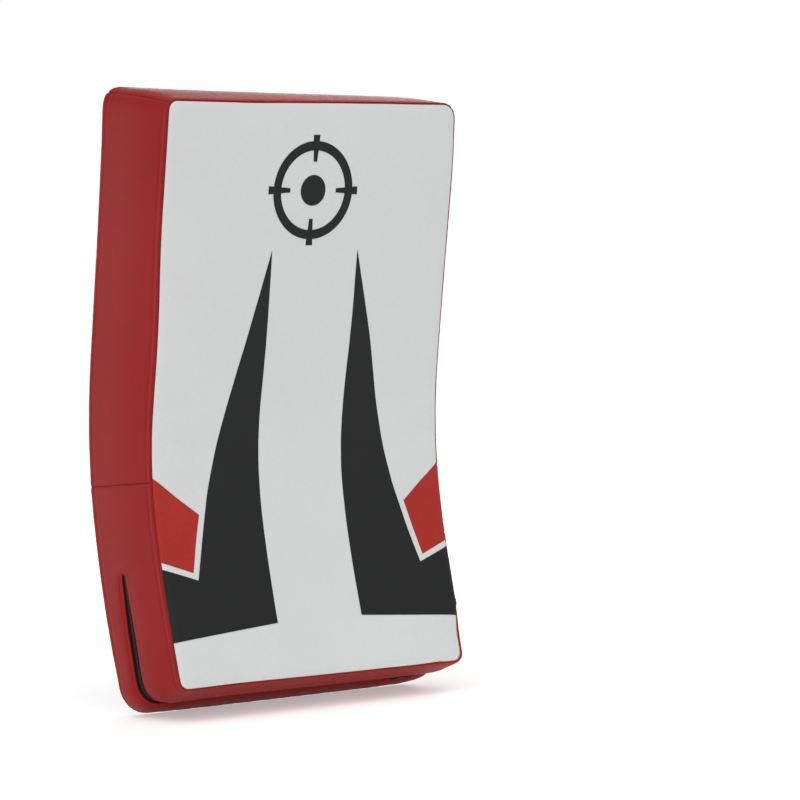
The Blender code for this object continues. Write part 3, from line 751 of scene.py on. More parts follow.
def printed(name, shapes, surface, material, slot, node, cell=0.005):
    """A thin film with the given outlines in x and s, laid on one of the panels."""
    bm = bmesh.new()
    for shape in shapes:
        bm.faces.new([bm.verts.new((x, s, 0)) for x, s in shape])
    bmesh.ops.remove_doubles(bm, verts=bm.verts, dist=1e-6)
    bmesh.ops.recalc_face_normals(bm, faces=bm.faces)
    for face in bm.faces:
        if face.normal.z < 0:
            face.normal_flip()
    bmesh.ops.triangulate(bm, faces=bm.faces)
    for sign in (-1, 1):
        bmesh.ops.bisect_plane(bm, geom=bm.verts[:] + bm.edges[:] + bm.faces[:], dist=1e-7, clear_outer=True,
                               plane_co=(sign * SIDE, 0, 0), plane_no=(sign, 0, 0))
    rim = [sign * (HALF - inset) for sign in (-1, 1) for inset in (0.0016, 0.0026, 0.0040, 0.0058, 0.0080)]
    for axis, places in ((0, [*np.arange(-HALF, HALF, cell), *rim]), (1, np.arange(0, LENGTH, cell))):
        values = [v.co[axis] for v in bm.verts]
        normal = [0, 0, 0]
        normal[axis] = 1
        for place in places:
            if min(values) < place < max(values):
                everything = bm.verts[:] + bm.edges[:] + bm.faces[:]
                bmesh.ops.bisect_plane(bm, geom=everything, dist=1e-7, plane_co=[place * n for n in normal],
                                       plane_no=normal)
    bm.verts.index_update()
    x, s = np.array([v.co[:2] for v in bm.verts]).T
    cells = [tuple(v.index for v in face.verts) for face in bm.faces]
    bm.free()
    if surface is on_back:
        cells = [cell[::-1] for cell in cells]
    points, solid = thickened(surface(x, s, PRINT), surface(x, s, 0.00003), cells)
    film = make_piece(name, points, solid, material)
    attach(film, "pad")
    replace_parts(film, node)
    return film


black_ink = ink("black_ink", (0.0185, 0.0190, 0.0190), (0.0155, 0.0160, 0.0165), 0.50)
red_ink = ink("red_ink", (0.47, 0.032, 0.022), (0.42, 0.026, 0.019), 0.45)
for side, sign in (("left", -1), ("right", 1)):
    outer, ahead = flowing([(0.1245, 0.150), (0.1082, 0.218), (0.0943, 0.278), (0.0807, 0.339),
                            (0.0646, 0.399), (0.0525, 0.444)], 0.012)
    flame = [(0.20, 0.0455), (0.20, 0.1315), (0.136, 0.1075), *(tuple(p) for p in outer[:-1]),
             *bowed(outer[-1], (0.0515, 0.0575), -0.001, 12), (0.0515, 0.0575)]
    flash = [(0.20, 0.1390), (0.20, 0.2375), (0.1255, 0.1745), (0.1405, 0.1155)]
    for name, shape, material, slot in (("flame", flame, black_ink, "film_black"),
                                        ("flash", flash, red_ink, "film_red")):
        printed(f"{name}_{side}_print", [leaning([(sign * x, s) for x, s in shape])], on_front, material, slot,
                f"{name}_{side}")

MARK_S = 0.503


def ring_part(first, last, inner, outer):
    """A piece of a ring round the mark, between two angles in degrees."""
    angles = np.radians(np.linspace(first, last, max(2, round((last - first) / 4) + 1)))
    return ([(outer * math.cos(a), MARK_S + outer * math.sin(a)) for a in angles]
            + [(inner * math.cos(a), MARK_S + inner * math.sin(a)) for a in angles[::-1]])


mark = []
for quarter in range(0, 360, 90):
    mark += [ring_part(quarter - 4.2, quarter + 4.2, inner, outer)
             for inner, outer in ((0.028, 0.039), (0.039, 0.048), (0.048, 0.054))]
    mark.append(ring_part(quarter + 4.2, quarter + 85.8, 0.039, 0.048))
printed("mark_ring_print", mark, on_front, black_ink, "film_black", "mark_ring")
printed("mark_dot_print", [[(0.015 * math.cos(a), MARK_S + 0.015 * math.sin(a))
                            for a in np.radians(np.arange(0, 360, 6))]],
        on_front, black_ink, "film_black", "mark_dot")
for name, low, high in (("back_bar_wide", 0.4515, 0.4635), ("back_bar_thin", 0.4380, 0.4430)):
    bar = [(-0.085, low), (0.085, low), (0.085, high), (-0.085, high)]
    printed(name + "_print", [bar], on_back, black_ink, "film_black", name)


# ------------------------------------------------------------------ closure
# A coil zip behind the slit, so that the foam can be taken out. It starts at a sewn box on the left side,
# runs round the bottom and ends under a crosswise tape on the right side.


def woven(name, light, dark, pitch, roughness=0.82, depth=0.00035, box=None):
    """Woven tape: ribs across its length and finer yarns along it, from the weave attribute in metres.

    box is the middle and half sizes of a crossed box of sewn creases, pressed into the bump and darkened as painted
    shade, on both halves of the tape.
    """
    material, shader, start = new_material(name, Specular_IOR_Level=0.16, Sheen_Weight=0.05,
                                           Sheen_Roughness=0.5)
    weave = start.node("Attribute", out="Vector", sets={"attribute_name": "weave"})
    split = [weave.node("SeparateXYZ", out=k, Vector=weave) for k in (0, 1)]
    jitter = weave.scaled(900, 160, 1).noise(1.0, 2.0)
    ribs = (split[0] * (math.tau / pitch) + jitter * 1.6).wave()
    yarns = (split[1] * (math.tau / (pitch * 0.55))).wave()
    streaks = weave.scaled(1500, 45, 1).noise(1.0, 3.0)
    worn = weave.scaled(40, 40, 1).noise(1.0, 3.0)
    # painted shade: the ribs' term makes the valleys between ribs darker and their crests lighter
    tone = (streaks * 0.62 + worn * 0.20 + (ribs * 0.5 + 0.5) * 0.18).band(0.34, 0.66)
    colour, height = tone.mixed(dark, light), ribs * 0.5 + yarns * 0.18 + streaks * 0.6
    if box:
        middle, half_long, half_wide = box
        along = (split[0].math("ABSOLUTE") - middle).math("ABSOLUTE")
        off = (split[1] - weave.node("SeparateXYZ", out=2, Vector=weave)).math("ABSOLUTE")
        crossed = (along * (half_wide / half_long) - off).math("ABSOLUTE")
        sides = (along - half_long).math("ABSOLUTE").math("MINIMUM", (off - half_wide).math("ABSOLUTE"))
        within = (along - half_long).math("MAXIMUM", off - half_wide).band(0.0004, 0.0006, 1.0, 0.0)
        crease_and_shade = crossed.math("MINIMUM", sides).band(0.0003, 0.0011, 1.0, 0.0) * within
        # painted shade: the crossed box's sewn creases are darkened almost to black
        colour = (crease_and_shade * 0.85).mixed(colour, (0.002, 0.002, 0.002))
        height = height - crease_and_shade * 3.0
    relief = start.node("Bump", Height=height, Strength=0.75, Distance=depth)
    return coat(material, shader, Base_Color=colour, Normal=relief,
                Roughness=streaks.band(0.3, 0.7, roughness + 0.08, roughness - 0.10))


def thread(name, light, dark):
    """Twisted sewing thread."""
    material, shader, start = new_material(name, Roughness=0.6, Specular_IOR_Level=0.2)
    place = start.node("TexCoord", out="Object")
    ply = place.noise(2600.0, 1.0)
    relief = start.node("Bump", Height=ply, Strength=0.5, Distance=0.0002)
    return coat(material, shader, Base_Color=ply.band(0.3, 0.7).mixed(dark, light), Normal=relief)


STITCH_SIDES, STITCH_ROWS = 6, ((-0.5, 0.0), (-0.46, 0.55), (-0.36, 0.9), (0.0, 1.0), (0.36, 0.9), (0.46, 0.55),
                                (0.5, 0.0))


def stitches(name, surface, lines, material, body="pad", pitch=0.0034, length=0.0028, radius=0.00028,
             sunk=0.4):
    """One mesh of round-ended stitches along straight lines in a surface's own two coordinates."""
    points, cells = [], []
    for (a0, b0), (a1, b1) in lines:
        trail = surface(np.linspace(a0, a1, 60), np.linspace(b0, b1, 60))
        span = np.linalg.norm(np.diff(trail, axis=0), axis=1).sum()
        count = max(1, round(span / pitch))
        shares = (np.arange(count) + 0.5) / count
        a, b = a0 + shares * (a1 - a0), b0 + shares * (b1 - b0)
        here = surface(a, b)
        near = 0.0008
        along = (surface(a + (a1 - a0) / span * near, b + (b1 - b0) / span * near)
                 - surface(a - (a1 - a0) / span * near, b - (b1 - b0) / span * near))
        over = np.cross(surface(a + near, b) - here, surface(a, b + near) - here)
        along /= np.linalg.norm(along, axis=1)[:, None]
        over /= np.linalg.norm(over, axis=1)[:, None]
        beside = np.cross(over, along)
        for k in range(count):
            centre = here[k] + over[k] * radius * (1 - 2 * sunk)
            start = len(points)
            for row, (far, wide) in enumerate(STITCH_ROWS):
                if wide == 0:
                    points.append(centre + along[k] * far * length - over[k] * radius * 0.5)
                    continue
                for j in range(STITCH_SIDES):
                    angle = math.tau * j / STITCH_SIDES
                    points.append(centre + along[k] * far * length
                                  + (beside[k] * math.cos(angle) + over[k] * math.sin(angle)) * wide * radius)
            last = start + 1 + STITCH_SIDES * (len(STITCH_ROWS) - 2)
            for j in range(STITCH_SIDES):
                n = (j + 1) % STITCH_SIDES
                cells.append((start, start + 1 + n, start + 1 + j))
                for row in range(len(STITCH_ROWS) - 3):
                    one = start + 1 + row * STITCH_SIDES
                    cells.append((one + j, one + n, one + n + STITCH_SIDES, one + j + STITCH_SIDES))
                cells.append((last, last - STITCH_SIDES + j, last - STITCH_SIDES + n))
    made = make_piece(name, points, cells, material)
    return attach(made, body) if body else made


def tape_along(name, first, last, near, far, lift, thick, material, node, step=0.003):
    """A tape that follows the edge of the pad, between two depths, a distance off the band."""
    runs = np.linspace(first, last, round((last - first) / step) + 1)
    across = np.linspace(near, far, 7)
    column = np.full((1, 7), half_column)
    depths = across[None] + slit_middle(runs)[:, None]
    grids = [band_surface(runs[:, None], column, depths, (-9.0, 9.0), rise).reshape(-1, 3)
             for rise in (lift, lift - thick)]
    cells = [(a * 7 + b + 1, a * 7 + b, (a + 1) * 7 + b, (a + 1) * 7 + b + 1)
             for a in range(len(runs) - 1) for b in range(6)]
    points, solid = thickened(*grids, cells)
    weave = np.stack(np.broadcast_arrays(runs[:, None], across[None], 0.0), -1).reshape(-1, 3)
    tape = make_piece(name, points, solid, material, weave=np.tile(weave, (2, 1)))
    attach(tape, "pad")
    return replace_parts(tape, node)


zip_tape = woven("zip_tape", (0.014, 0.014, 0.014), (0.006, 0.006, 0.006), 0.0009, depth=0.0002)
for node, near, far in (("closure_tape_front", -0.012, -0.0004), ("closure_tape_back", 0.0004, 0.012)):
    tape_along(node + "_woven", SLIT_START - 0.005, SLIT_END - 0.003, near, far, -0.0032, 0.0006, zip_tape,
               node)

nylon, shader, start = new_material("zip_nylon", Base_Color=(0.012, 0.012, 0.012, 1), Specular_IOR_Level=0.5)
gloss = start.node("TexCoord", out="Object").noise(900.0, 2.0)
coat(nylon, shader, Roughness=gloss.band(0.3, 0.7, 0.32, 0.5))


def on_closure(run, t):
    return band_surface(run, half_column, t + slit_middle(run), (-9.0, 9.0), -0.0024)


coil_runs = np.arange(SLIT_START + 0.002, SLIT_END - 0.004, 0.0015)
coil = stitches("closure_coil_turns", on_closure, [((run, -0.0022), (run, 0.0022)) for run in coil_runs], nylon,
                pitch=0.0044, length=0.0044, radius=0.00062)
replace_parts(coil, "closure_coil")

red_thread = thread("red_thread", (0.60, 0.045, 0.035), (0.36, 0.020, 0.018))
pale_thread = thread("pale_thread", (0.86, 0.62, 0.58), (0.70, 0.45, 0.42))


def on_band(run, t):
    return band_surface(run, half_column, t, (-9.0, 9.0))


def by_slit(run, t):
    return on_band(run, t + slit_middle(run))


box_top, box_low, box_side = SLIT_START - 0.0125, SLIT_START - 0.0040, 0.0078
tack = stitches("closure_start_stitches", by_slit, [
    ((box_top, -box_side), (box_top, box_side)), ((box_low, -box_side), (box_low, box_side)),
    ((box_top, -box_side), (box_low, -box_side)), ((box_top, box_side), (box_low, box_side)),
    ((box_top, -box_side), (box_low, box_side)), ((box_low, -box_side), (box_top, box_side))],
    red_thread, pitch=0.0018, length=0.0017, radius=0.00036, sunk=0.12)
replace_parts(tack, "closure_start_tack")
beside = np.arange(SLIT_START, SLIT_END - 0.006, 0.02)
stitches("closure_side_stitches", by_slit,
         [((a, side * (slit_half(a + 0.01) + 0.0046)), (b, side * (slit_half(b + 0.01) + 0.0046)))
          for a, b in zip(beside, beside[1:]) for side in (-1, 1)], red_thread,
         pitch=0.0036, length=0.0027, radius=0.00021, sunk=0.42)
stitches("seam_stitches_right", on_band, [((RIGHT_MIDDLE - 0.0006, -DEEP + 0.002),
                                           (RIGHT_MIDDLE - 0.0006, DEEP - 0.002))],
         pale_thread, pitch=0.0036, length=0.0035, radius=0.00036, sunk=0.2)



def solid_of(levels, place):
    """A closed solid from rings of (a, b) points at heights: its ends are capped."""
    count = len(levels[0][0])
    points = [place(a, b, rise) for ring, rise in levels for a, b in ring]
    cells = [(k * count + i, k * count + (i + 1) % count, (k + 1) * count + (i + 1) % count, (k + 1) * count + i)
             for k in range(len(levels) - 1) for i in range(count)]
    return points, [tuple(range(count))[::-1], *cells, tuple(range(len(points) - count, len(points)))]


def rounded(corners, radius, steps=5):
    """A polygon's corners rounded off, going left round it."""
    points = []
    for before, here, after in zip(corners[-1:] + corners[:-1], corners, corners[1:] + corners[:1]):
        a, b, c = Vector(before), Vector(here), Vector(after)
        one, two = b + (a - b).normalized() * radius, b + (c - b).normalized() * radius
        for k in range(steps + 1):
            u = k / steps
            points.append(tuple(one * (1 - u) ** 2 + b * 2 * u * (1 - u) + two * u ** 2))
    return points


def drawn_in(ring, inset):
    """A ring with every point moved towards its middle by about the inset."""
    middle_a, middle_b = (sum(p[k] for p in ring) / len(ring) for k in (0, 1))
    return [(a - math.copysign(min(inset, abs(a - middle_a)), a - middle_a),
             b - math.copysign(min(inset, abs(b - middle_b)), b - middle_b)) for a, b in ring]


zip_paint, shader, start = new_material("zip_enamel", Metallic=0.85, Coat_Weight=0.3, Coat_Roughness=0.25)
place_in = start.node("TexCoord", out="Object")
wear, specks = place_in.noise(260.0, 3.0), place_in.noise(1900.0, 2.0)
coat(zip_paint, shader, Base_Color=wear.band(0.55, 0.75).mixed((0.024, 0.024, 0.025), (0.060, 0.060, 0.062)),
     Roughness=specks.band(0.3, 0.7, 0.26, 0.42), Normal=start.node("Bump", Height=specks, Strength=0.15,
                                                                   Distance=0.0001))
slider_home = bend(0.118, 0, 0, HOME)
slider_depth = through(0.0)
slider_out = np.cross(slider_depth, (1, 0, 0))


def on_slider(a, b, rise):
    return slider_home + np.array((a, 0, 0)) + slider_depth * b + slider_out * rise


def joined(parts):
    """Several solids as the points and faces of one mesh."""
    points, cells = [], []
    for more, faces in parts:
        cells += [tuple(i + len(points) for i in face) for face in faces]
        points += list(more)
    return points, cells


shoe = rounded([(-0.0050, -0.0027), (0.0018, -0.0040), (0.0050, -0.0033), (0.0050, 0.0033), (0.0018, 0.0040),
                (-0.0050, 0.0027)], 0.0011)
body = solid_of([(drawn_in(shoe, 0.0003), 0.0003), (shoe, 0.0005), (shoe, 0.0014),
                 (drawn_in(shoe, 0.00015), 0.0017), (drawn_in(shoe, 0.0004), 0.0018)], on_slider)
arch_path, arch_ahead = flowing([(-0.0030, 0.0012), (-0.0030, 0.0028), (-0.0027, 0.0037), (-0.0018, 0.0040),
                                 (0.0018, 0.0040), (0.0027, 0.0037), (0.0030, 0.0028), (0.0030, 0.0012)], 0.0003)
ring = [(math.cos(angle) * 0.0010, math.sin(angle) * 0.00035) for angle in np.arange(12) / 12 * math.tau]
arch_points = [on_slider(spot[0] - way[1] * thick, side, spot[1] + way[0] * thick)
               for spot, way in zip(arch_path, arch_ahead) for side, thick in ring]
arch_cells = [(k * 12 + i, k * 12 + (i + 1) % 12, (k + 1) * 12 + (i + 1) % 12, (k + 1) * 12 + i)
              for k in range(len(arch_path) - 1) for i in range(12)]
arch_cells += [tuple(range(12))[::-1], tuple(range(len(arch_points) - 12, len(arch_points)))]
slider = make_piece("closure_slider_cast", *joined([body, (arch_points, arch_cells)]), zip_paint)
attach(slider, "closure_slider")
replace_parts(slider, "closure_slider")

PIVOT_AT = 0.0028
tab = [Vector(p) for p in rounded([(-0.00045, -0.0022), (0.0060, -0.0026), (0.0240, -0.0029), (0.0240, 0.0029),
                                   (0.0060, 0.0026), (-0.00045, 0.0022)], 0.0018)]
eye = Vector((0.0032, 0))
rays = [Vector((math.cos(angle), math.sin(angle))) for angle in np.arange(72) / 72 * math.tau]


def hit(ray):
    """Where a ray from the middle of the eye leaves the tab."""
    for p, q in zip(tab, tab[1:] + tab[:1]):
        edge = q - p
        down = ray.x * edge.y - ray.y * edge.x
        if abs(down) > 1e-12:
            far = ((p.x - eye.x) * edge.y - (p.y - eye.y) * edge.x) / down
            share = ((p.x - eye.x) * ray.y - (p.y - eye.y) * ray.x) / down
            if far > 0 and -1e-9 <= share <= 1 + 1e-9:
                return eye + ray * far


rim = [hit(ray) for ray in rays]
hole = [eye + Vector((0.00275 * math.copysign(abs(r.x) ** 0.6, r.x), 0.0015 * math.copysign(abs(r.y) ** 0.6, r.y)))
        for r in rays]
thick, edge = 0.00045, 0.00018
loops = [(rim, 0.0, -thick + edge), (rim, -edge, -thick), (hole, edge, -thick), (hole, 0.0, -thick + edge),
         (hole, 0.0, thick - edge), (hole, edge, thick), (rim, -edge, thick), (rim, 0.0, thick - edge)]
pull_points = [on_slider(*(p + ray * out), PIVOT_AT + rise) for loop, out, rise in loops for p, ray in zip(loop, rays)]
pull_cells = [(k * 72 + i, k * 72 + (i + 1) % 72, (k + 1) % 8 * 72 + (i + 1) % 72, (k + 1) % 8 * 72 + i)
              for k in range(8) for i in range(72)]
grips = [solid_of([(drawn_in(bar, inset), PIVOT_AT + rise) for inset, rise in
                   ((0, thick - 0.0001), (0.00005, thick + 0.00012), (0.0002, thick + 0.0002))], on_slider)
         for bar in (rounded([(a, -0.0019), (a + 0.0007, -0.0019), (a + 0.0007, 0.0019), (a, 0.0019)], 0.0003, 3)
                     for a in np.arange(0.0140, 0.0225, 0.0014))]
pull = make_piece("closure_pull_tab", *joined([(pull_points, pull_cells), *grips]), zip_paint)
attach(pull, "closure_pull")
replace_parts(pull, "closure_pull")

end_fabric = woven("closure_end_weave", (0.052, 0.056, 0.052), (0.030, 0.032, 0.030), 0.0014)
runs = RIGHT_LOW + np.linspace(-0.0031, 0.0031, 7)
grids = [band_surface(runs[:, None], np.arange(last_column + 1)[None], None, (-9.0, 9.0), lift)
         for lift in (0.0009, 0.0002)]
grids[0][[0, -1]] = (grids[0][[0, -1]] + grids[1][[0, -1]]) / 2
wide = last_column + 1
cells = [(a * wide + b + 1, a * wide + b, (a + 1) * wide + b, (a + 1) * wide + b + 1)
         for a in range(6) for b in range(last_column)]
points, solid = thickened(*(g.reshape(-1, 3) for g in grids), cells)
weave = np.stack(np.broadcast_arrays(band_depths[None], runs[:, None], 0.0), -1).reshape(-1, 3)
end_tape = make_piece("closure_end_tape_woven", points, solid, end_fabric, weave=np.tile(weave, (2, 1)))
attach(end_tape, "pad")
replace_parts(end_tape, "closure_end_tape")


# ------------------------------------------------------------------ webbing straps
# Three straps of 50 mm ribbed webbing across the back, sewn along both edges and caught in the side seams.
# The middle and bottom ones lie over the ends of the arm loops, which lift them a little.

WEB = 0.0020
LOOP_X = 0.094
webbing = woven("ribbed_webbing", (0.0235, 0.0260, 0.0255), (0.0070, 0.0078, 0.0076), 0.0021)
boxed = woven("boxed_webbing", (0.0235, 0.0260, 0.0255), (0.0070, 0.0078, 0.0076), 0.0021,
              box=(LOOP_X, 0.0215, 0.0197))
black_thread = thread("black_thread", (0.0075, 0.0078, 0.0078), (0.0025, 0.0025, 0.0025))


def strap_lift(name, x):
    """How far a strap's underside stands off the back panel."""
    if name == "strap_top":
        return np.full(np.shape(x), 0.0002)
    over = np.abs(np.abs(x) - LOOP_X) - 0.0265
    return 0.0002 + 0.0019 / (1 + np.exp(over / 0.0012))


def handle_bow(x):
    """How far the middle of the top strap and its handle is bowed up."""
    return 0.0040 * (0.5 + 0.5 * np.cos(np.clip(x / 0.105, -1, 1) * math.pi))


def on_strap(name):
    """The outer side of a strap, by x and s."""
    return lambda x, s: on_back(x, s, strap_lift(name, x) + WEB - 0.0001)


across = np.sin(np.linspace(-1, 1, 23) * math.pi / 2)
across = 0.35 * across + 0.65 * np.linspace(-1, 1, 23)
for name, height in STRAP_HEIGHTS.items():
    x = stepped(-HALF + 0.0012, HALF - 0.0012, (0.0, 0.0008, 0.0018, 0.003, 0.0045, 0.0065), 0.0028)[:, None]
    wander = 0.0005 * np.sin(x * 41 + height * 60) + 0.0003 * np.sin(x * 97 + height * 90)
    if name == "strap_top":
        wander = wander + handle_bow(x)
    s = height + wander + across[None] * STRAP_WIDTH / 2 * (1 + 0.006 * np.sin(x * 63 + height * 31))
    round_edge = np.sqrt(np.clip(1 - np.abs(across[None]) ** 26, 0.02, 1))
    lift = strap_lift(name, x)
    top = on_back(x, s, lift + WEB * (0.5 + 0.5 * round_edge))
    low = on_back(x, s, lift + WEB * (0.5 - 0.5 * round_edge))
    rows, wide = top.shape[:2]
    cells = [(a * wide + b + 1, (a + 1) * wide + b + 1, (a + 1) * wide + b, a * wide + b)
             for a in range(rows - 1) for b in range(wide - 1)]
    points, solid = thickened(top.reshape(-1, 3), low.reshape(-1, 3), cells)
    weave = np.stack(np.broadcast_arrays(x, s, height), -1).reshape(-1, 3)
    strap = make_piece(name + "_webbing", points, solid, webbing if name == "strap_top" else boxed,
                       weave=np.tile(weave, (2, 1)))
    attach(strap, "pad")
    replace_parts(strap, name)
    edge = STRAP_WIDTH / 2 - 0.0028
    spots = np.linspace(-HALF + 0.004, HALF - 0.004, 13)
    rise = [float(handle_bow(spot)) if name == "strap_top" else 0.0 for spot in spots]
    lines = [((a, height + side * edge + up), (b, height + side * edge + above)) for side in (-1, 1)
             for a, b, up, above in zip(spots, spots[1:], rise, rise[1:])]
    if name != "strap_top":
        for sign in (-1, 1):
            x0, x1 = sign * LOOP_X - 0.0215, sign * LOOP_X + 0.0215
            s0, s1 = height - edge + 0.0025, height + edge - 0.0025
            lines += [((x0, s0), (x0, s1)), ((x1, s0), (x1, s1)), ((x0, s0), (x1, s1)), ((x0, s1), (x1, s0))]
    stitches(name + "_stitches", on_strap(name), lines, black_thread, sunk=0.55)


# ------------------------------------------------------------------ arm loops
# Two lengths of the same webbing stand off the back. Each comes out from under the middle strap, folds
# sharply, runs down to the bottom strap and folds back under it.


def ribbon(name, line, ahead, wide, cup, twist, place, material, thick=WEB):
    """Webbing along a line in a plane of (length, rise): place maps length, across and rise to space."""
    side = across[None]
    edge = np.sqrt(np.clip(1 - np.abs(side) ** 26, 0.02, 1))
    off = side * wide[:, None] / 2
    bulge = cup[:, None] * (1 - side ** 2) + off * np.sin(twist)[:, None]
    flat_off = off * np.cos(twist)[:, None]
    faces = []
    for sign in (1, -1):
        rise = bulge + sign * thick / 2 * edge
        faces.append(place(line[:, :1] - ahead[:, 1:] * rise, flat_off, line[:, 1:] + ahead[:, :1] * rise))
    rows, columns_wide = faces[0].shape[:2]
    cells = [(a * columns_wide + b, a * columns_wide + b + 1, (a + 1) * columns_wide + b + 1,
              (a + 1) * columns_wide + b) for a in range(rows - 1) for b in range(columns_wide - 1)]
    outer, inner = (f.reshape(-1, 3) for f in faces)
    first = np.cross(outer[cells[0][1]] - outer[cells[0][0]], outer[cells[0][2]] - outer[cells[0][0]])
    if np.dot(first, outer[0] - inner[0]) < 0:
        cells = [cell[::-1] for cell in cells]
    points, solid = thickened(outer, inner, cells)
    length = np.concatenate(([0], np.cumsum(np.linalg.norm(np.diff(line, axis=0), axis=1))))
    length -= length[-1] / 2
    weave = np.stack(np.broadcast_arrays(length[:, None], off, 0.0), -1).reshape(-1, 3)
    return make_piece(name, points, solid, material, weave=np.tile(weave, (2, 1)))


loop_points = [(0.3885, 0.0021), (0.3790, 0.0022), (0.3730, 0.0024), (0.3690, 0.0034), (0.3662, 0.0072),
               (0.3645, 0.0130), (0.3630, 0.0190), (0.3612, 0.0243), (0.3580, 0.0270), (0.3530, 0.0277),
               (0.3300, 0.0276), (0.2560, 0.0272), (0.1850, 0.0270), (0.1560, 0.0268), (0.1420, 0.0258),
               (0.1355, 0.0230), (0.1338, 0.0190), (0.1362, 0.0142), (0.1420, 0.0106), (0.1470, 0.0080),
               (0.1486, 0.0052), (0.1462, 0.0032), (0.1415, 0.0024), (0.1360, 0.0021), (0.1270, 0.0021)]
line, ahead = flowing(loop_points, 0.0026)
for side, sign, turn in (("left", -1, 0.16), ("right", 1, -0.07)):
    s = line[:, 0]
    hold = np.clip((s - 0.135) / 0.03, 0, 1) * np.clip((0.375 - s) / 0.03, 0, 1)
    fold = np.exp(-((s - 0.3575) / 0.0045) ** 2) + 0.3 * np.exp(-((s - 0.137) / 0.005) ** 2)
    wide = 0.0485 - 0.0040 * hold + 0.0075 * fold + 0.0006 * np.sin(s * 70 + sign)
    cup = -0.0022 * hold + 0.0005 * np.sin(s * 55 + 2 * sign) * hold
    twist = turn * hold + 0.04 * np.sin(s * 24 + sign) * hold

    def place(length, off, rise, sign=sign):
        drift = sign * 0.0010 * np.sin((length - 0.14) / 0.23 * math.pi)
        drift = drift - 0.0028 * np.exp(-((length - 0.3560) / 0.0070) ** 2)
        return sewn(sign * LOOP_X + drift + off, length, DEEP + rise)

    loop = ribbon(f"arm_loop_{side}_webbing", line, ahead, wide, cup, twist, place, webbing)
    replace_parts(loop, f"arm_loop_{side}")
    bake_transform(loop)


# ------------------------------------------------------------------ carry handle
# Webbing laid on the top strap and sewn down in a crossed box at each end. Between them it stands clear
# of the strap inside a sleeve with a strip of foam, hemmed at both ends.

TOP = STRAP_HEIGHTS["strap_top"]
sleeve_cloth = woven("sleeve_cloth", (0.0225, 0.0250, 0.0250), (0.0075, 0.0085, 0.0085), 0.0013, depth=0.0002)
handle_web = woven("handle_webbing", (0.0235, 0.0260, 0.0255), (0.0070, 0.0078, 0.0076), 0.0021,
                   box=(0.1185, 0.0090, 0.0195))
under = 0.0002 + WEB + 0.0008
handle_points = [(-0.1290, under + 0.0010), (-0.1180, under + 0.0010), (-0.1080, under + 0.0013),
                 (-0.1030, under + 0.0035), (-0.0985, under + 0.0085), (-0.0930, under + 0.0132),
                 (-0.0850, under + 0.0160), (-0.0450, under + 0.0185), (0.0, under + 0.0195),
                 (0.0450, under + 0.0185), (0.0850, under + 0.0160), (0.0930, under + 0.0132),
                 (0.0985, under + 0.0085), (0.1030, under + 0.0035), (0.1080, under + 0.0013),
                 (0.1180, under + 0.0010), (0.1290, under + 0.0010)]
line, ahead = flowing(handle_points, 0.0026)


def on_handle(x, off, rise):
    return sewn(x, TOP + off + handle_bow(x), DEEP + panel_height(x, TOP, 1) + rise)


x = line[:, 0]
loose = np.clip((0.112 - np.abs(x)) / 0.014, 0, 1)
wide = 0.0475 - 0.0060 * loose
strip = ribbon("carry_handle_strip", line, ahead, wide, -0.0012 * loose, np.zeros(len(x)), on_handle, handle_web)
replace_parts(strip, "carry_handle_webbing")
for_start, for_end = (0, 0.0325, 0.52), (0, 0.0440, 0.52)
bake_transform(strip)
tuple(for_start)
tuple(for_end)


def sleeve_body(scale, length, grow):
    """Rings of points round the handle: a rounded, bowed and slightly uneven section."""
    spots = stepped(-length / 2, length / 2, (0.0, 0.0006, 0.0016, 0.003, 0.005, 0.0075, 0.0105), 0.0036)
    rings, marks = [], []
    for spot in spots:
        from_end = length / 2 - abs(spot)
        full = 1 - math.exp(-from_end / 0.016)
        tall = (0.0445 - 0.0025 * full) * scale + grow
        thick = (0.0118 + 0.0050 * full + 0.0003 * math.sin(spot * 130)) * scale + grow
        tall -= 0.0012 * math.exp(-((from_end - 0.0052) / 0.0012) ** 2)
        thick -= 0.0014 * math.exp(-((from_end - 0.0052) / 0.0012) ** 2)
        lift = under + 0.0175 + 0.0030 * (0.5 + 0.5 * math.cos(spot / length * math.tau)) + 0.0022
        ring = []
        for a in np.arange(40) / 40 * math.tau:
            c, s = math.cos(a), math.sin(a)
            off = tall / 2 * math.copysign(abs(c) ** 0.62, c)
            rise = thick / 2 * math.copysign(abs(s) ** 0.80, s)
            ring.append((spot, off, lift + rise))
            marks.append((spot, a * 0.018, 0.0))
        rings.append(ring)
    return np.array(rings), np.array(marks)


def closed_tube(rings, turn_in):
    """Points and faces of rings closed at both ends, the ends turned in by a distance."""
    count = rings.shape[1]
    rows = list(rings)
    for end, sign in ((0, 1), (-1, -1)):
        middle = rings[end].mean(0)
        rim = middle + (rings[end] - middle) * np.array((1, 0.86, 0.80)) + np.array((sign * 0.0004, 0, 0))
        deep = middle + (rings[end] - middle) * np.array((1, 0.74, 0.50)) + np.array((sign * turn_in, 0, 0))
        rows = [deep, rim, *rows] if end == 0 else [*rows, rim, deep]
    flat = np.concatenate([np.array(rows).reshape(-1, 3), [rows[0].mean(0), rows[-1].mean(0)]])
    cells = [(a * count + b, (a + 1) * count + b, (a + 1) * count + (b + 1) % count, a * count + (b + 1) % count)
             for a in range(len(rows) - 1) for b in range(count)]
    head, tail, final = len(flat) - 2, len(flat) - 1, (len(rows) - 1) * count
    cells += [(head, b, (b + 1) % count) for b in range(count)]
    cells += [(tail, final + (b + 1) % count, final + b) for b in range(count)]
    return flat, cells


